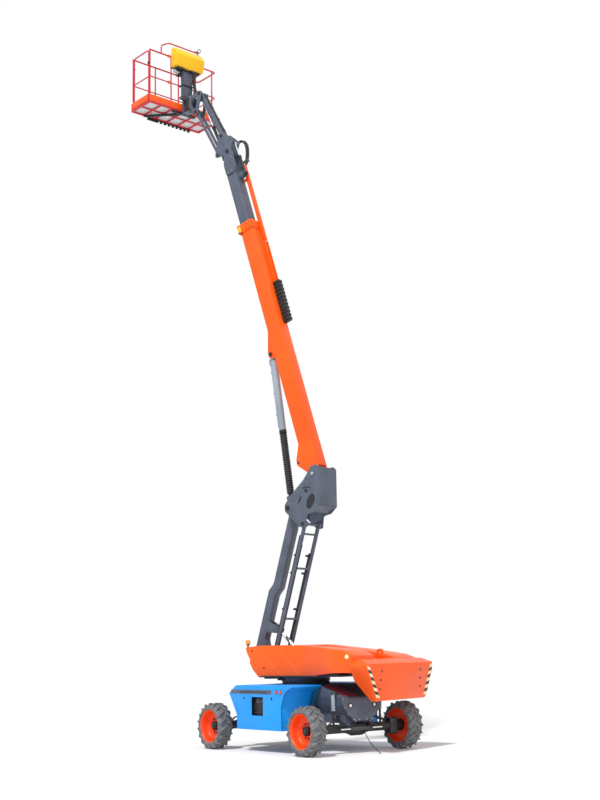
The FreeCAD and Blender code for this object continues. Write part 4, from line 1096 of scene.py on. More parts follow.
def link_dressing():
    """The hoses along the tie tubes, their clamps, and softer edges on the tubes."""
    hoses = bmesh.new()
    for y, above, radius, start, end in ((-LINK_Y, 52, 14, 150, 2560), (-LINK_Y + 28, 46, 13, 150, 2500),
                                         (-LINK_Y, -46, 8, 180, 2400), (LINK_Y, 52, 14, 150, 2230),
                                         (LINK_Y - 28, 46, 13, 150, 2230), (LINK_Y - 50, 20, 13, 150, 2180)):
        middle = (start + end) / 2
        hose(hoses, [(start, y, above), (start + 300, y, above + 3), (middle, y, above - 3),
                     (end - 300, y, above + 3), (end, y, above)], radius)
    make_piece("riser_hose_runs", hoses, LINKS, "black_rubber", "links")
    clamps = bmesh.new()
    for along in (400, 1130, 1820, 2160):
        for side in SIDES:
            block(clamps, along, along + 36, *side_slab(side, 115, LINK_Y + 22), 26, 74)
            bolt(clamps, (along + 18, side * (LINK_Y + 12), 74), (0, 0, 1), 8)
    make_piece("hose_clamps", clamps, LINKS, "black_plastic", "links", 4.0)
    softened("riser_links", 4.0)


def pin_caps(name, place, body, spots, slot="black_paint", finish=None):
    """A cap with its keeper bolt on both ends of each pin; a spot is (x, z, radius, half width)."""
    shape = bmesh.new()
    for x, z, radius, half_width in spots:
        for side in SIDES:
            disc(shape, (x, side * (half_width - 1), z), (0, side, 0), radius, 9, 3, 36)
            bolt(shape, (x, side * (half_width + 7), z), (0, side, 0), radius * 0.26)
    make_piece(name, shape, place, slot, body, finish=finish)


def oval(x, z, long_radius, short_radius, lean, sides=40):
    """The corners of an oval in a side plane, its long axis leaning by an angle in degrees."""
    tilt = math.radians(lean)
    corners = []
    for index in range(sides):
        angle = 2 * math.pi * index / sides
        up, out = long_radius * math.cos(angle), short_radius * math.sin(angle)
        corner_x = x + up * math.sin(tilt) + out * math.cos(tilt)
        corner_z = z + up * math.cos(tilt) - out * math.sin(tilt)
        corners.append((corner_x, corner_z))
    return corners


def upright_dressing():
    """Softer edges on the upright, its pins' caps, bolts and straps, and black ovals and a black disc of painted
    shade in its windows and its hole.
    """
    softened("upright", 7.0)
    pin_caps("upright_pin_caps", UPRIGHT, "upright", [(-590, -600, 44, 300), (-250, -920, 36, 300)])
    pin_caps("boom_pin_caps", UPRIGHT, "upright", [(0, 0, 30, 300)], "chrome_rod", GALVANISED)
    shape = bmesh.new()
    for side in SIDES:
        for x, z in ((-150, -90), (-205, -190), (-70, -190), (-470, -470)):
            bolt(shape, (x, side * 281, z), (0, side, 0), 12)
        block(shape, -250, -60, *side_slab(side, 282, 287), -260, -240)
    make_piece("upright_bolts", shape, UPRIGHT, "black_paint", "upright")
    # painted shade: black ovals fill the windows and a black disc covers the hole, where the openings look dark
    window_shade = bmesh.new()
    for x, z, long_radius, short_radius in ((-62, -520, 148, 84), (-311, -469, 78, 22)):
        for side in SIDES:
            side_plate(window_shade, oval(x, z, long_radius, short_radius, 26), *side_slab(side, 262, 283))
    for side in SIDES:
        disc(window_shade, (-162, side * 270, -313), (0, side, 0), 38, 13, 2)
    make_piece("upright_window_shade", window_shade, UPRIGHT, "black_paint", "upright")


riser_arm()
link_dressing()
upright_dressing()


# ------------------------------------------------------------------ main boom
BOOM_TOP, BOOM_BELOW, BOOM_HALF, BOOM_WALL = 81.0, 229.0, 145.0, 12.0
BOOM_START, BOOM_END = 170.0, 5600.0
FLY_HALF, FLY_BELOW, FLY_ABOVE, FLY_WALL = 125.0, 210.0, 20.0, 10.0
FLY_START, FLY_END = 3950.0, 6990.0
CHAIN_START, CHAIN_END, CHAIN_DEPTH, CHAIN_LINKS = 3230.0, 4150.0, 160.0, 11
TRAY_START, TRAY_END = 5110.0, 6950.0
COLLAR_START, COLLAR_LIP = 5410.0, 16.0
PAD_START, PAD_END, PAD_GAP = 5470.0, 5612.0, 0.5
LIFT_PIN = (2700.0, -340.0)
MOUNT_PIN = (7320.0, -30.0)
LEVEL_RAM_PIN = (6720.0, 172.0)


def box_section(shape, x0, x1, half, low, high, wall):
    """Adds a hollow rectangular section as one closed shell with open ends."""
    outer = [(-half, low), (half, low), (half, high), (-half, high)]
    inner = [(-half + wall, low + wall), (half - wall, low + wall), (half - wall, high - wall),
             (-half + wall, high - wall)]
    rings = [[shape.verts.new((x, y, z)) for y, z in ring]
             for ring, x in ((outer, x0), (outer, x1), (inner, x1), (inner, x0))]
    bridge(shape, rings + rings[:1])


def boom_base():
    """The outer boom box with its foot, boss and cylinder bracket, and the tray guide on it."""
    shape = bmesh.new()
    box_section(shape, BOOM_START, BOOM_END, BOOM_HALF, -BOOM_BELOW, BOOM_TOP, BOOM_WALL)
    block(shape, BOOM_START, BOOM_START + 12, -140, 140, -BOOM_BELOW + 6, BOOM_TOP - 6)
    for side in SIDES:
        side_plate(shape, [(-90, 78, 70), (300, BOOM_TOP - 1), (700, BOOM_TOP - 1), (700, -BOOM_BELOW + 1),
                           (420, -370, 40), (320, -370, 40), (60, -150, 60), (-90, -90, 70)],
                   *side_slab(side, 115, 151))
        side_plate(shape, [(2640, -400, 40), (2580, -224), (3320, -224), (2760, -400, 40)],
                   *side_slab(side, 62, 84))
    pin_bar(shape, 0, 0, 68, 254, 48)
    pin_bar(shape, *LIFT_PIN, 35, 100, 40)
    make_piece("boom_box", shape, BOOM, "orange_paint", "boom", 7.0, stands_for=("boom_base",))
    guide = bmesh.new()
    for y in (58, 140):
        block(guide, 4155, 5105, y - 2, y + 2, BOOM_TOP - 1, 166)
    block(guide, 4155, 5405, 60, 138, BOOM_TOP - 1, BOOM_TOP + 18)
    make_piece("tray_guide", guide, BOOM, "orange_paint", "boom", 1.0)
    trim = bmesh.new()
    for side in SIDES:
        for along in (900, 2100, 3550, 4700):
            side_plate(trim, [(along, 40, 14), (along + 70, 40, 14), (along + 70, 12, 14), (along, 12, 14)],
                       *side_slab(side, BOOM_HALF - 2, BOOM_HALF + 3))
    make_piece("boom_access_plates", trim, BOOM, "orange_paint", "boom", 1.5)
    plates = bmesh.new()
    for along in (430, 780):
        for y in (-110, 110):
            bolt(plates, (along, y, -BOOM_BELOW), (0, 0, -1), 11)
    for y in (-100, 100):
        disc(plates, (365, y * 1.5, -335), (0, math.copysign(1, y), 0), 24, 7)
    make_piece("boom_foot_bolts", plates, BOOM, "black_paint", "boom")
    pin_caps("lift_pin_caps", BOOM, "boom", [(*LIFT_PIN, 42, 100)])


def boom_collar():
    """The thickened mouth of the boom with its slider pads and their bolts."""
    shape = bmesh.new()
    x0, x1, half = COLLAR_START, BOOM_END, BOOM_HALF + COLLAR_LIP
    low, high = -BOOM_BELOW - 55, BOOM_TOP + 14
    block(shape, x0, x1, -half, half, BOOM_TOP, high)
    block(shape, x0, x1, -half, half, low, -BOOM_BELOW)
    for side in SIDES:
        block(shape, x0, x1, *side_slab(side, BOOM_HALF, half), low, high)
    make_piece("mouth_collar", shape, BOOM, "orange_paint", "boom", 5.0, stands_for=("boom_collar",))
    pads = bmesh.new()
    for side in SIDES:
        block(pads, PAD_START, PAD_END, *side_slab(side, FLY_HALF + 4, BOOM_HALF - BOOM_WALL), -170, 0)
        block(pads, PAD_START, PAD_END, *side_slab(side, 30, 105), -BOOM_BELOW + BOOM_WALL,
              -FLY_BELOW - PAD_GAP)
        block(pads, 5440, 5560, *side_slab(side, BOOM_HALF + 15, BOOM_HALF + 26), -272, -196)
    block(pads, PAD_START, PAD_END, -60, 20, FLY_ABOVE + PAD_GAP, BOOM_TOP - BOOM_WALL)
    make_piece("slider_pads", pads, BOOM, "pad_plastic", "boom", 2.0, stands_for=("wear_pads",))
    bolts = bmesh.new()
    for side in SIDES:
        face = side * (BOOM_HALF + COLLAR_LIP)
        for x, z in ((5445, -60), (5445, 30), (5560, -60), (5560, 30), (5425, -252)):
            bolt(bolts, (x, face, z), (0, side, 0), 10)
        disc(bolts, (5400, side * BOOM_HALF, -215), (0, side, 0), 22, 14)
    make_piece("collar_bolts", bolts, BOOM, "black_paint", "boom")


def energy_chain():
    """The folded link chain in its guide on the boom's back."""
    shape = bmesh.new()
    pitch = (CHAIN_END - CHAIN_START) / CHAIN_LINKS
    top = BOOM_TOP + CHAIN_DEPTH
    block(shape, CHAIN_START, CHAIN_END, 30, 120, BOOM_TOP, top - 10)
    for index in range(CHAIN_LINKS):
        x = CHAIN_START + pitch * (index + 0.2)
        block(shape, x, x + pitch * 0.6, 20, 130, BOOM_TOP, BOOM_TOP + 70)
        block(shape, x + 6, x + pitch * 0.6 + 6, 20, 130, BOOM_TOP + 78, top)
        for y, outward in ((20, -1), (130, 1)):
            for above in (35, 116):
                disc(shape, (x + pitch * 0.3, y, BOOM_TOP + above), (0, outward, 0), 14, 4, 1, 16)
    make_piece("link_chain", shape, BOOM, "black_plastic", "boom", 3.0, stands_for=("energy_chain",))


def fly_boom():
    """The sliding inner boom with its fork head, its ram ears, and its weld strips and bolts."""
    shape = bmesh.new()
    box_section(shape, FLY_START, FLY_END, FLY_HALF, -FLY_BELOW, FLY_ABOVE, FLY_WALL)
    block(shape, FLY_END - 20, FLY_END, -FLY_HALF + 5, FLY_HALF - 5, -FLY_BELOW + 5, FLY_ABOVE - 5)
    for side in SIDES:
        side_plate(shape, [(7400, -105, 70), (7060, -210, 80), (6800, -FLY_BELOW, 60),
                           (6800, FLY_ABOVE, 60), (6920, 90, 60), (7220, 90, 60), (7400, 45, 70)],
                   *side_slab(side, FLY_HALF, FLY_HALF + 20))
        side_plate(shape, [(6790, 10), (6630, 10), (6690, 207, 30), (6750, 207, 30)],
                   *side_slab(side, 42, 60))
    pin_bar(shape, *MOUNT_PIN, 30, 160, 40)
    pin_bar(shape, *LEVEL_RAM_PIN, 18, 62, 24)
    make_piece("fly_box", shape, BOOM, "slate_paint", "fly", 6.0, stands_for=("fly_boom",))
    strips = bmesh.new()
    for side in SIDES:
        block(strips, 5640, 6790, *side_slab(side, FLY_HALF - 1, FLY_HALF + 3), -66, -54)
        for along in (5980, 6480):
            disc(strips, (along, side * FLY_HALF, -191), (0, side, 0), 13, 3)
    make_piece("fly_weld_strips", strips, BOOM, "slate_paint", "fly", 1.0)
    bolts = bmesh.new()
    for side in SIDES:
        for along, above in ((6860, -60), (6860, -150), (7150, 20)):
            bolt(bolts, (along, side * (FLY_HALF + 20), above), (0, side, 0), 11)
    make_piece("fly_bolts", bolts, BOOM, "chrome_rod", "fly", finish=GALVANISED)
    pin_caps("mount_pin_caps", BOOM, "fly", [(*MOUNT_PIN, 40, 160)])
    pin_caps("level_ram_pin_caps", BOOM, "fly", [(*LEVEL_RAM_PIN, 26, 62)])


def hose_tray():
    """The folded tray along the boom's back and its feet."""
    shape = bmesh.new()
    block(shape, TRAY_START, TRAY_END, 66, 132, 103, 172)
    for along in (6640, 6760):
        block(shape, along - 50, along, 70, 118, FLY_ABOVE, 108)
    make_piece("folded_tray", shape, BOOM, "orange_paint", "fly", 5.0, stands_for=("hose_channel",))


def head_hose_loop():
    """The thick hoses that leave the tray and arch over the fork head, and their clip."""
    shape = bmesh.new()
    for y, lift, radius in ((172, 0, 24), (200, 26, 18)):
        hose(shape, [(6900, 110, 132), (7040, y - 20, 165 + lift), (7220, y, 225 + lift),
                     (7400, y, 262 + lift), (7540, y, 215 + lift), (7590, y, 120), (7550, y, 30)],
             radius, 14)
    make_piece("head_hose_loop", shape, BOOM, "black_rubber", "fly")
    clip = bmesh.new()
    side_plate(clip, [(7020, 60), (7080, 60), (7080, 232, 14), (7020, 232, 14)], 134, 142)
    block(clip, 7022, 7078, 138, 210, 206, 216)
    make_piece("hose_loop_clip", clip, BOOM, "slate_paint", "fly", 2.0)


boom_base()
boom_collar()
energy_chain()
fly_boom()
hose_tray()
head_hose_loop()


# ------------------------------------------------------------------ jib and platform
LINKS_TIP_PIN = (-100.0, -400.0)
DRUM_X, DRUM_BOLTS, DRUM_BOLT_CIRCLE = -350.0, 10, 62.0


def jib_head():
    """The levelled head with its window, pins and web, the rotary drum and its motor."""
    plates = bmesh.new()
    for side in SIDES:
        side_plate(plates, [(60, 60, 50), (60, -60, 50), (-45, -460, 50), (-160, -460, 50),
                            (-288, -235), (-288, 20), (-110, 20, 30), (-70, 60, 40)],
                   *side_slab(side, 104, 120))
    window = drawn(side_plate, [(-220, -70, 20), (-60, -70, 30), (-95, -315, 25), (-160, -315, 20),
                                (-220, -200, 20)], -200, 200)
    shape = combined(plates, window)
    block(shape, -288, -250, -105, 105, -250, 20)
    pin_bar(shape, 0, 0, 28, 125)
    pin_bar(shape, *LINKS_TIP_PIN, 22, 125)
    make_piece("jib_head_plates", shape, HEAD, "black_paint", "jib_head", 4.0, finish=FINISH["slate_paint"],
               stands_for=("jib_head",))
    drum = bmesh.new()
    lathe(drum, [(27, -260), (92, -260), (92, -228), (86, -222), (86, -18), (92, -12), (92, 20), (27, 20)],
          facing((DRUM_X, 0, 0), (0, 0, 1)), 56)
    for x, y in ring_points(DRUM_BOLTS, DRUM_BOLT_CIRCLE):
        bolt(drum, (DRUM_X + x, y, 20), (0, 0, 1), 9)
    make_piece("rotary_drum", drum, HEAD, "black_paint", "jib_head", 1.5)
    motor = bmesh.new()
    rod(motor, (-184, 0, -330), (-184, 0, -90), 36, 32)
    block(motor, -222, -180, -30, 30, -240, -120)
    for y in (-60, -20, 30, 66):
        hose(motor, [(-190, y, -100), (-150, y * 1.2, -40), (-60, y, -30), (10, y * 0.8, -90)], 9, 8)
    make_piece("rotary_motor", motor, HEAD, "black_paint", "jib_head", 2.0)
    pin_caps("head_pin_caps", HEAD, "jib_head", [(0, 0, 36, 125), (*LINKS_TIP_PIN, 30, 125)])


def jib_dressing():
    """Softer edges on the jib's arms and bracket, their pins' caps, bolts and hoses."""
    softened("jib_arm", 4.0)
    softened("jib_links", 3.0)
    softened("jib_bracket", 5.0)
    pin_caps("bracket_pin_caps", BRACKET, "jib_bracket",
             [(-180, 400, 36, 125), (-280, 0, 30, 125), (-235, 130, 26, 110)])
    runs = bmesh.new()
    for y, lift in ((-30, 62), (0, 66), (30, 62)):
        hose(runs, [(40, y, lift), (300, y, lift + 4), (650, y, lift), (1000, y, lift + 4),
                    (1260, y, lift)], 9, 8)
    for along in (160, 500, 850, 1180):
        block(runs, along, along + 24, -48, 48, 54, 76)
    make_piece("jib_hose_runs", runs, JIB, "black_rubber", "jib_arm")
    bolts = bmesh.new()
    for side in SIDES:
        for along in (200, 640, 1080):
            bolt(bolts, (along, side * 58, 30), (0, side, 0), 9)
    make_piece("jib_bolts", bolts, JIB, "cast_iron", "jib_arm", finish=GALVANISED)


EDGE_NEAR, EDGE_FAR, PLATFORM_HALF = -170.0, -930.0, 915.0
RAIL_TOP, RAIL_MIDDLE, RAIL_RADIUS, POST_RADIUS = 1230.0, 615.0, 17.0, 15.0
RAIL_NEAR, RAIL_FAR, RAIL_END = EDGE_NEAR - 90, EDGE_FAR + 30, PLATFORM_HALF - 30
GATE_HINGE_X, GATE_LATCH_X = EDGE_FAR + 75, EDGE_NEAR - 135
POST_HALF = 135.0
FLOOR_BAYS = 6
HOOP_TOP = 1540.0


def platform_post():
    """The rotator's ears and pin, and the post with its clamps, hoses and alarm disc."""
    shape = bmesh.new()
    for z in (254, -62):
        plan_plate(shape, [(EDGE_NEAR - 40, -75), (75, -75, 70), (75, 75, 70), (EDGE_NEAR - 40, 75)],
                   z, z + 24)
    rod(shape, (0, 0, -62), (0, 0, 278), 25, 32)
    disc(shape, (0, 0, 278), (0, 0, 1), 46, 14, 4)
    block(shape, EDGE_NEAR - 58, EDGE_NEAR - 2, -55, 55, -62, 328)
    block(shape, EDGE_NEAR + 4, EDGE_NEAR + 60, -POST_HALF, POST_HALF, 288, 950)
    block(shape, EDGE_NEAR - 60, EDGE_NEAR + 60, -POST_HALF, POST_HALF, 278, 328)
    for y in (-110, 110):
        block(shape, EDGE_NEAR + 60, EDGE_NEAR + 70, y - 10, y + 10, 300, 930)
    make_piece("post_plates", shape, PLATFORM, "slate_paint", "platform", 6.0,
               stands_for=("platform_post",))
    clamps = bmesh.new()
    block(clamps, EDGE_NEAR - 30, EDGE_NEAR + 74, -172, -POST_HALF, 800, 880)
    block(clamps, EDGE_NEAR - 20, EDGE_NEAR + 70, POST_HALF, 200, 760, 870)
    block(clamps, EDGE_NEAR + 60, EDGE_NEAR + 86, -140, 140, 560, 596)
    block(clamps, EDGE_NEAR - 60, EDGE_NEAR + 66, -142, 142, 560, 590)
    block(clamps, EDGE_NEAR + 10, EDGE_NEAR + 90, -280, 280, 912, 950)
    for y in (-250, 250):
        block(clamps, RAIL_NEAR - 22, EDGE_NEAR + 30, y - 22, y + 22, 915, 940)
    make_piece("post_clamps", clamps, PLATFORM, "black_paint", "platform", 6.0)
    loops = bmesh.new()
    for y, reach in ((-300, 0), (-260, 20)):
        hose(loops, [(EDGE_NEAR + 30, y, 950), (EDGE_NEAR + 60 + reach, y, 860),
                     (EDGE_NEAR + 20, y + 30, 760), (EDGE_NEAR - 40, y + 90, 780),
                     (EDGE_NEAR - 20, y + 150, 880)], 12)
    for y in (120, 150, 180):
        hose(loops, [(EDGE_NEAR + 30, y, 790), (EDGE_NEAR + 90, y + 20, 640), (EDGE_NEAR + 150, y, 430),
                     (EDGE_NEAR + 130, y - 40, 250), (40, y - 60, 120)], 12)
    make_piece("console_hoses", loops, PLATFORM, "black_rubber", "platform")
    dial = bmesh.new()
    disc(dial, (EDGE_NEAR + 30, -318, 850), (0.9, -0.4, 0), 40, 22, 4)
    make_piece("alarm_disc", dial, PLATFORM, "silver_paint", "platform")


def platform_floor():
    """The floor's red frame and cross bars, the mesh deck on them and the beam under them."""
    low, high, depth = EDGE_FAR, EDGE_NEAR - 58, 40
    shape = bmesh.new()
    for x0, x1 in ((low, low + 40), (high - 40, high)):
        block(shape, x0, x1, -PLATFORM_HALF, PLATFORM_HALF, 0, depth)
    for side in SIDES:
        block(shape, low + 40, high - 40, *side_slab(side, PLATFORM_HALF - 40, PLATFORM_HALF), 0, depth)
    step = (2 * PLATFORM_HALF - 40) / FLOOR_BAYS
    for index in range(1, FLOOR_BAYS):
        y = -PLATFORM_HALF + 20 + index * step
        block(shape, low + 20, high - 22, y - 15, y + 15, 0, depth - 10)
    middle = (low + high) / 2
    block(shape, middle - 15, middle + 15, -PLATFORM_HALF + 20, PLATFORM_HALF - 20, 4, depth - 12)
    make_piece("floor_frame", shape, PLATFORM, "red_paint", "platform", 3.0, stands_for=("platform_floor",))
    deck = bmesh.new()
    for index in range(FLOOR_BAYS):
        y = -PLATFORM_HALF + 20 + index * step
        for x0, x1 in ((low + 30, middle), (middle, high - 30)):
            block(deck, x0, x1 - 4, y + 10, y + step - 10, depth - 10, depth - 6)
            disc(deck, ((x0 + x1) / 2, y + 24, depth - 6), (0, 0, 1), 14, 2, 1, 16)
    make_piece("mesh_deck", deck, PLATFORM, "silver_paint", "platform", 1.0, finish=DECK_MESH)
    beam = bmesh.new()
    plan_plate(beam, [(low + 60, -640), (low + 60, -580), (high, 40), (high, -40)], -46, -2)
    block(beam, high - 60, high + 2, -300, 300, -50, 0)
    make_piece("floor_beam", beam, PLATFORM, "black_paint", "platform", 5.0)


def step_bar():
    """The toothed bar under the platform's outer edge."""
    shape = bmesh.new()
    block(shape, EDGE_FAR + 2, EDGE_FAR + 38, -500, 660, -18, 0)
    for index in range(8):
        y = -140 + 107 * index
        block(shape, EDGE_FAR + 2, EDGE_FAR + 38, y - 26, y + 26, -58, -17)
    block(shape, EDGE_FAR + 2, EDGE_FAR + 38, -500, -220, -58, -17)
    make_piece("toothed_bar", shape, PLATFORM, "black_paint", "platform", 3.0, stands_for=("step_bar",))


def toe_boards():
    """Folded toe boards round the floor; the gate carries its own."""
    low, high, end = EDGE_FAR + 4, EDGE_NEAR - 66, PLATFORM_HALF - 4
    shape = bmesh.new()
    for x in (low, high - 3):
        block(shape, x, x + 3, -end, end, 40, 190)
    block(shape, low, high, end - 3, end, 40, 190)
    for x in (low + 3, high - 15):
        block(shape, x, x + 12, -end, end, 186, 190)
    make_piece("toe_board_folds", shape, PLATFORM, "orange_paint", "platform", 1.0,
               stands_for=("kick_plates",))
    start, stop = GATE_HINGE_X - 30, GATE_LATCH_X + 16
    gate_board = drawn(block, start, stop, -RAIL_END - 24, -RAIL_END - 20, 62, 205)
    block(gate_board, start, stop, -RAIL_END - 24, -RAIL_END - 10, 202, 206)
    for x in (GATE_HINGE_X + 60, GATE_LATCH_X - 60):
        bolt(gate_board, (x, -RAIL_END - 24, 120), (0, -1, 0), 8)
    make_piece("gate_toe_board", gate_board, PLATFORM, "orange_paint", "gate", 1.0)


def guard_rails():
    """Bent guard rails on posts, the console's hoop, the gate's hinges and the rails' clamps."""
    near, far, end = RAIL_NEAR, RAIL_FAR, RAIL_END
    shape = bmesh.new()
    for x, y in ((far, -end), (near, -end), (far, end - 100), (near, end - 100), (far, -300), (far, 330),
                 (near, -330), (near, 330)):
        rod(shape, (x, y, 40), (x, y, RAIL_TOP), POST_RADIUS, 20)
    for z, radius in ((RAIL_MIDDLE, POST_RADIUS - 2), (RAIL_TOP, RAIL_RADIUS)):
        corners = [(far, -end - 15, z), (far, end, z), (near, end, z), (near, -end - 15, z)]
        bent_tube(shape, corners, 70, radius)
    bent_tube(shape, [(near, -590, RAIL_TOP), (near, -590, 1420), (near, -380, HOOP_TOP),
                      (near, 400, HOOP_TOP), (near, 440, RAIL_TOP)], 60, POST_RADIUS)
    for z in (210, 980):
        block(shape, far, GATE_HINGE_X, -end - 8, -end + 8, z, z + 24)
        disc(shape, (GATE_HINGE_X, -end, z), (0, 0, 1), POST_RADIUS + 8, 24, 3)
    make_piece("guard_rail_tubes", shape, PLATFORM, "red_paint", "platform", stands_for=("platform_rails",))
    clamps = bmesh.new()
    for z in (RAIL_MIDDLE, RAIL_TOP):
        for y in (-385, 385):
            block(clamps, near - 24, near + 24, y - 30, y + 30, z - 26, z + 26)
    make_piece("rail_clamps", clamps, PLATFORM, "orange_paint", "platform", 8.0)


def gate():
    """The entry gate: one bent tube with two cross bars and a latch."""
    shape = bmesh.new()
    y = -RAIL_END
    bent_tube(shape, [(GATE_HINGE_X, y, 60), (GATE_HINGE_X, y, RAIL_TOP), (GATE_LATCH_X, y, RAIL_TOP),
                      (GATE_LATCH_X, y, 60)], 60, POST_RADIUS)
    for z in (74, RAIL_MIDDLE):
        rod(shape, (GATE_HINGE_X, y, z), (GATE_LATCH_X, y, z), POST_RADIUS - 2, 20)
    make_piece("gate_tube", shape, PLATFORM, "red_paint", "gate", stands_for=("gate",))
    latch = drawn(block, GATE_LATCH_X - 14, GATE_LATCH_X + 22, y - 24, y + 24, 900, 960)
    rod(latch, (GATE_LATCH_X + 4, y, 884), (GATE_LATCH_X + 4, y, 984), 7, 14)
    disc(latch, (GATE_LATCH_X + 4, y, 984), (0, 0, 1), 15, 12, 4)
    make_piece("gate_latch", latch, PLATFORM, "black_plastic", "gate", 5.0)


def console():
    """The blown cover over the console, the tray and levers behind it, and the work lamp."""
    x1, half = EDGE_NEAR, 367
    outline = [(x1 - 40, 950, 20), (x1 + 150, 950, 60), (x1 + 220, 1210, 90), (x1 + 90, 1390, 90),
               (x1 - 40, 1390, 60)]
    shape = drawn(side_plate, outline, -half, half)
    make_piece("blown_cover", shape, PLATFORM, "yellow_plastic", "platform", 26.0,
               stands_for=("console_cover",), smooth=50)
    under = bmesh.new()
    block(under, x1 - 30, x1 + 120, -300, -120, 900, 956)
    block(under, x1 - 30, x1 + 120, 60, 300, 905, 956)
    block(under, x1 - 52, x1 - 30, -half + 20, half - 20, 930, 1180)
    make_piece("console_tray", under, PLATFORM, "black_plastic", "platform", 8.0)
    levers = bmesh.new()
    for y in (-250, -150, -50, 60, 170, 260):
        rod(levers, (x1 - 50, y, 1120), (x1 - 105, y, 1165), 6, 10)
        disc(levers, (x1 - 100, y, 1162), (-0.77, 0, 0.63), 17, 34, 8, 20)
    make_piece("console_levers", levers, PLATFORM, "black_plastic", "platform")
    lamp, lens = bmesh.new(), bmesh.new()
    x, z = RAIL_NEAR, HOOP_TOP + 15
    block(lamp, x - 12, x + 12, 300, 440, z, z + 10)
    lathe(lamp, [(0, -30), (26, -30), (42, -8), (44, 22), (38, 22), (36, 10), (0, 10)],
          facing((x, 428, z + 48), (1, -0.2, 0)), 40)
    disc(lens, (x + 8, 426, z + 48), (1, -0.2, 0), 37, 8, 4, 36)
    make_piece("work_lamp_case", lamp, PLATFORM, "black_plastic", "platform", 1.0)
    make_piece("work_lamp_lens", lens, PLATFORM, "amber_lens", "platform", finish=CLEAR_LENS)


jib_head()
jib_dressing()
platform_post()
platform_floor()
step_bar()
toe_boards()
guard_rails()
gate()
console()


# ------------------------------------------------------------------ cylinders
SLEEVE_RADIUS, GLAND_START = 70.0, 1540.0
BOOT_START, BOOT_END, BOOT_RADIUS, BOOT_FOLDS = 1612.0, 2820.0, 76.0, 26


def axis_frame(axis):
    """A rotation whose Z axis runs along an axis and whose Y axis runs across the machine."""
    across = SLEWED.to_3x3() @ Vector((0, 1, 0))
    along = Vector(axis).normalized()
    side = across.cross(along).normalized()
    return Matrix((side, across, along)).transposed().to_4x4()


def ribbed_boot(name, place, start, end, radius, folds, body):
    """A ribbed rubber boot round a rod, from one point of a place to another."""
    start, end = Vector(start), Vector(end)
    length = (end - start).length
    profile = [(radius * 0.7, 0)]
    for index in range(folds):
        x = length * (index + 0.25) / folds
        profile += [(radius, x), (radius * 0.8, x + length * 0.5 / folds)]
    profile.append((radius * 0.7, length))
    shape = bmesh.new()
    lathe(shape, [(0, 0)] + profile + [(0, length)], facing(start, end - start), 28)
    return make_piece(name, shape, place, "black_rubber", body)


def cylinder_dressing():
    """Softer barrels on the cylinders; the lift ram's sleeve, valve, line, gland and boot."""
    for node, width in (("lift_ram_barrel", 3.0), ("jib_ram_barrel", 2.0), ("level_ram_barrel", 2.0),
                        ("riser_ram_barrel", 3.0)):
        softened(node, width)
    foot = PINS["lift_ram_pivot"]
    down = JOINT_AXES["lift_ram_stroke"]
    top_down = Matrix.Translation(foot) @ axis_frame(down) @ SCALE
    lift = bmesh.new()
    sleeve = [(0, 120), (SLEEVE_RADIUS, 120), (SLEEVE_RADIUS, GLAND_START + 5), (0, GLAND_START + 5)]
    lathe(lift, sleeve, facing((0, 0, 0), (0, 0, 1)), 48)
    block(lift, 60, 105, -28, 28, 70, 190)
    rod(lift, (88, 0, 190), (88, 0, 1480), 10, 12)
    for along in (330, 760, 1190):
        block(lift, 60, 104, -22, 22, along, along + 26)
    make_piece("lift_ram_valve", lift, top_down, "silver_paint", "lift_ram_barrel", 3.0)
    gland = bmesh.new()
    band = [(60, GLAND_START), (74, GLAND_START + 6), (74, GLAND_START + 64), (60, GLAND_START + 70)]
    lathe(gland, band, facing((0, 0, 0), (0, 0, 1)), 36)
    make_piece("lift_ram_gland", gland, top_down, "black_paint", "lift_ram_barrel", 2.0)
    boot = ribbed_boot("lift_rod_boot", top_down, (0, 0, BOOT_START), (0, 0, BOOT_END), BOOT_RADIUS,
                       BOOT_FOLDS, "lift_ram_rod")
    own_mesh(boot)


cylinder_dressing()
for node_name in ("chassis_frame", "turntable_frame", "front_axle", "rear_axle", "knuckle_right",
                  "knuckle_left"):
    softened(node_name, 5.0)


# ------------------------------------------------------------------ floor and light
FLOOR_SIZE = 600
FLOOR_COLOUR = (0.86, 0.86, 0.86, 1)
FLOOR_GLOW = 0.06
SKY = 0.42


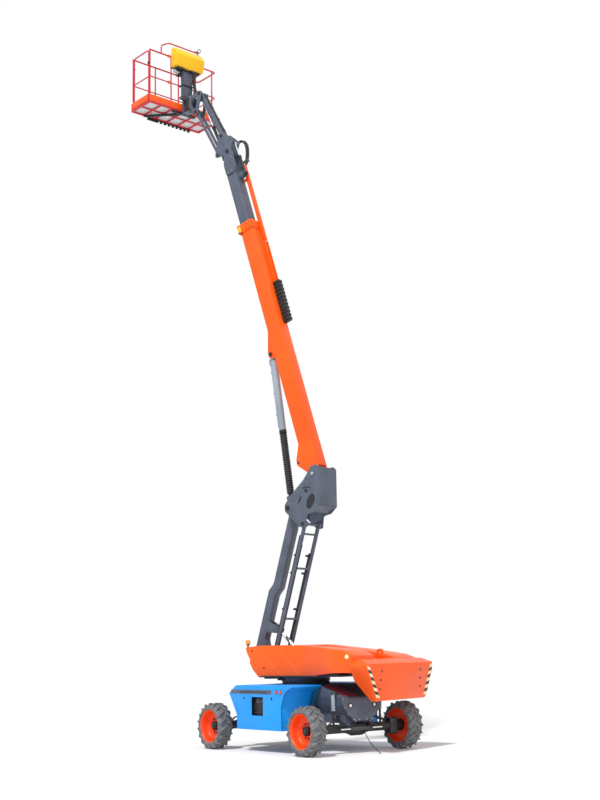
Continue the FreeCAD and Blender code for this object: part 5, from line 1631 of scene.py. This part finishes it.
def floor():
    """A wide pale floor that glows faintly to the camera and keeps the object's shadow."""
    bpy.ops.mesh.primitive_plane_add(size=FLOOR_SIZE, location=(0, 0, 0))
    plane = bpy.context.object
    plane.name = "studio_floor"
    material = bpy.data.materials.new("pale studio floor")
    material.use_nodes = True
    tree = material.node_tree
    tree.nodes.clear()
    base = add_node(tree, "ShaderNodeBsdfDiffuse", {"Color": FLOOR_COLOUR})
    glow = add_node(tree, "ShaderNodeEmission", {"Color": (1, 1, 1, 1), "Strength": FLOOR_GLOW})
    both = add_node(tree, "ShaderNodeAddShader")
    tree.links.new(base.outputs[0], both.inputs[0])
    tree.links.new(glow.outputs[0], both.inputs[1])
    mix = add_node(tree, "ShaderNodeMixShader", links={"Fac": seen_directly(tree)})
    tree.links.new(base.outputs[0], mix.inputs[1])
    tree.links.new(both.outputs[0], mix.inputs[2])
    add_node(tree, "ShaderNodeOutputMaterial", links={"Surface": mix.outputs[0]})
    plane.data.materials.append(material)


def seen_directly(tree):
    """1 for rays from the camera, and for those that metal and glass send on."""
    path = add_node(tree, "ShaderNodeLightPath")
    glossy = add_node(tree, "ShaderNodeMath", {"operation": "MAXIMUM"})
    tree.links.new(path.outputs["Is Camera Ray"], glossy.inputs[0])
    tree.links.new(path.outputs["Is Glossy Ray"], glossy.inputs[1])
    clear = add_node(tree, "ShaderNodeMath", {"operation": "MAXIMUM"})
    tree.links.new(glossy.outputs[0], clear.inputs[0])
    tree.links.new(path.outputs["Is Transmission Ray"], clear.inputs[1])
    return clear.outputs[0]


def world_light():
    """A plain grey sky that is white to the camera, to mirrors and through glass."""
    world = bpy.data.worlds.new("studio")
    bpy.context.scene.world = world
    world.use_nodes = True
    tree = world.node_tree
    tree.nodes.clear()
    lit = add_node(tree, "ShaderNodeBackground", {"Color": (1, 1, 1, 1), "Strength": SKY})
    seen = add_node(tree, "ShaderNodeBackground", {"Color": (1, 1, 1, 1), "Strength": 1.0})
    mix = add_node(tree, "ShaderNodeMixShader", links={"Fac": seen_directly(tree)})
    tree.links.new(lit.outputs[0], mix.inputs[1])
    tree.links.new(seen.outputs[0], mix.inputs[2])
    add_node(tree, "ShaderNodeOutputWorld", links={"Surface": mix.outputs[0]})


def sun_light(name, towards, strength, angle):
    """A soft sun that shines along a direction; angle is its width in degrees."""
    lamp = bpy.data.lights.new(name, "SUN")
    lamp.energy = strength
    lamp.angle = math.radians(angle)
    lamp_object = bpy.data.objects.new(name, lamp)
    bpy.context.scene.collection.objects.link(lamp_object)
    lamp_object.rotation_euler = Vector(towards).to_track_quat("-Z", "Y").to_euler()


floor()
world_light()
sun_light("key sun", (-0.22, 0.52, -0.82), 2.5, 7)
sun_light("fill sun", (-0.80, 0.10, -0.35), 0.9, 60)
bpy.context.scene.view_settings.view_transform = "Standard"
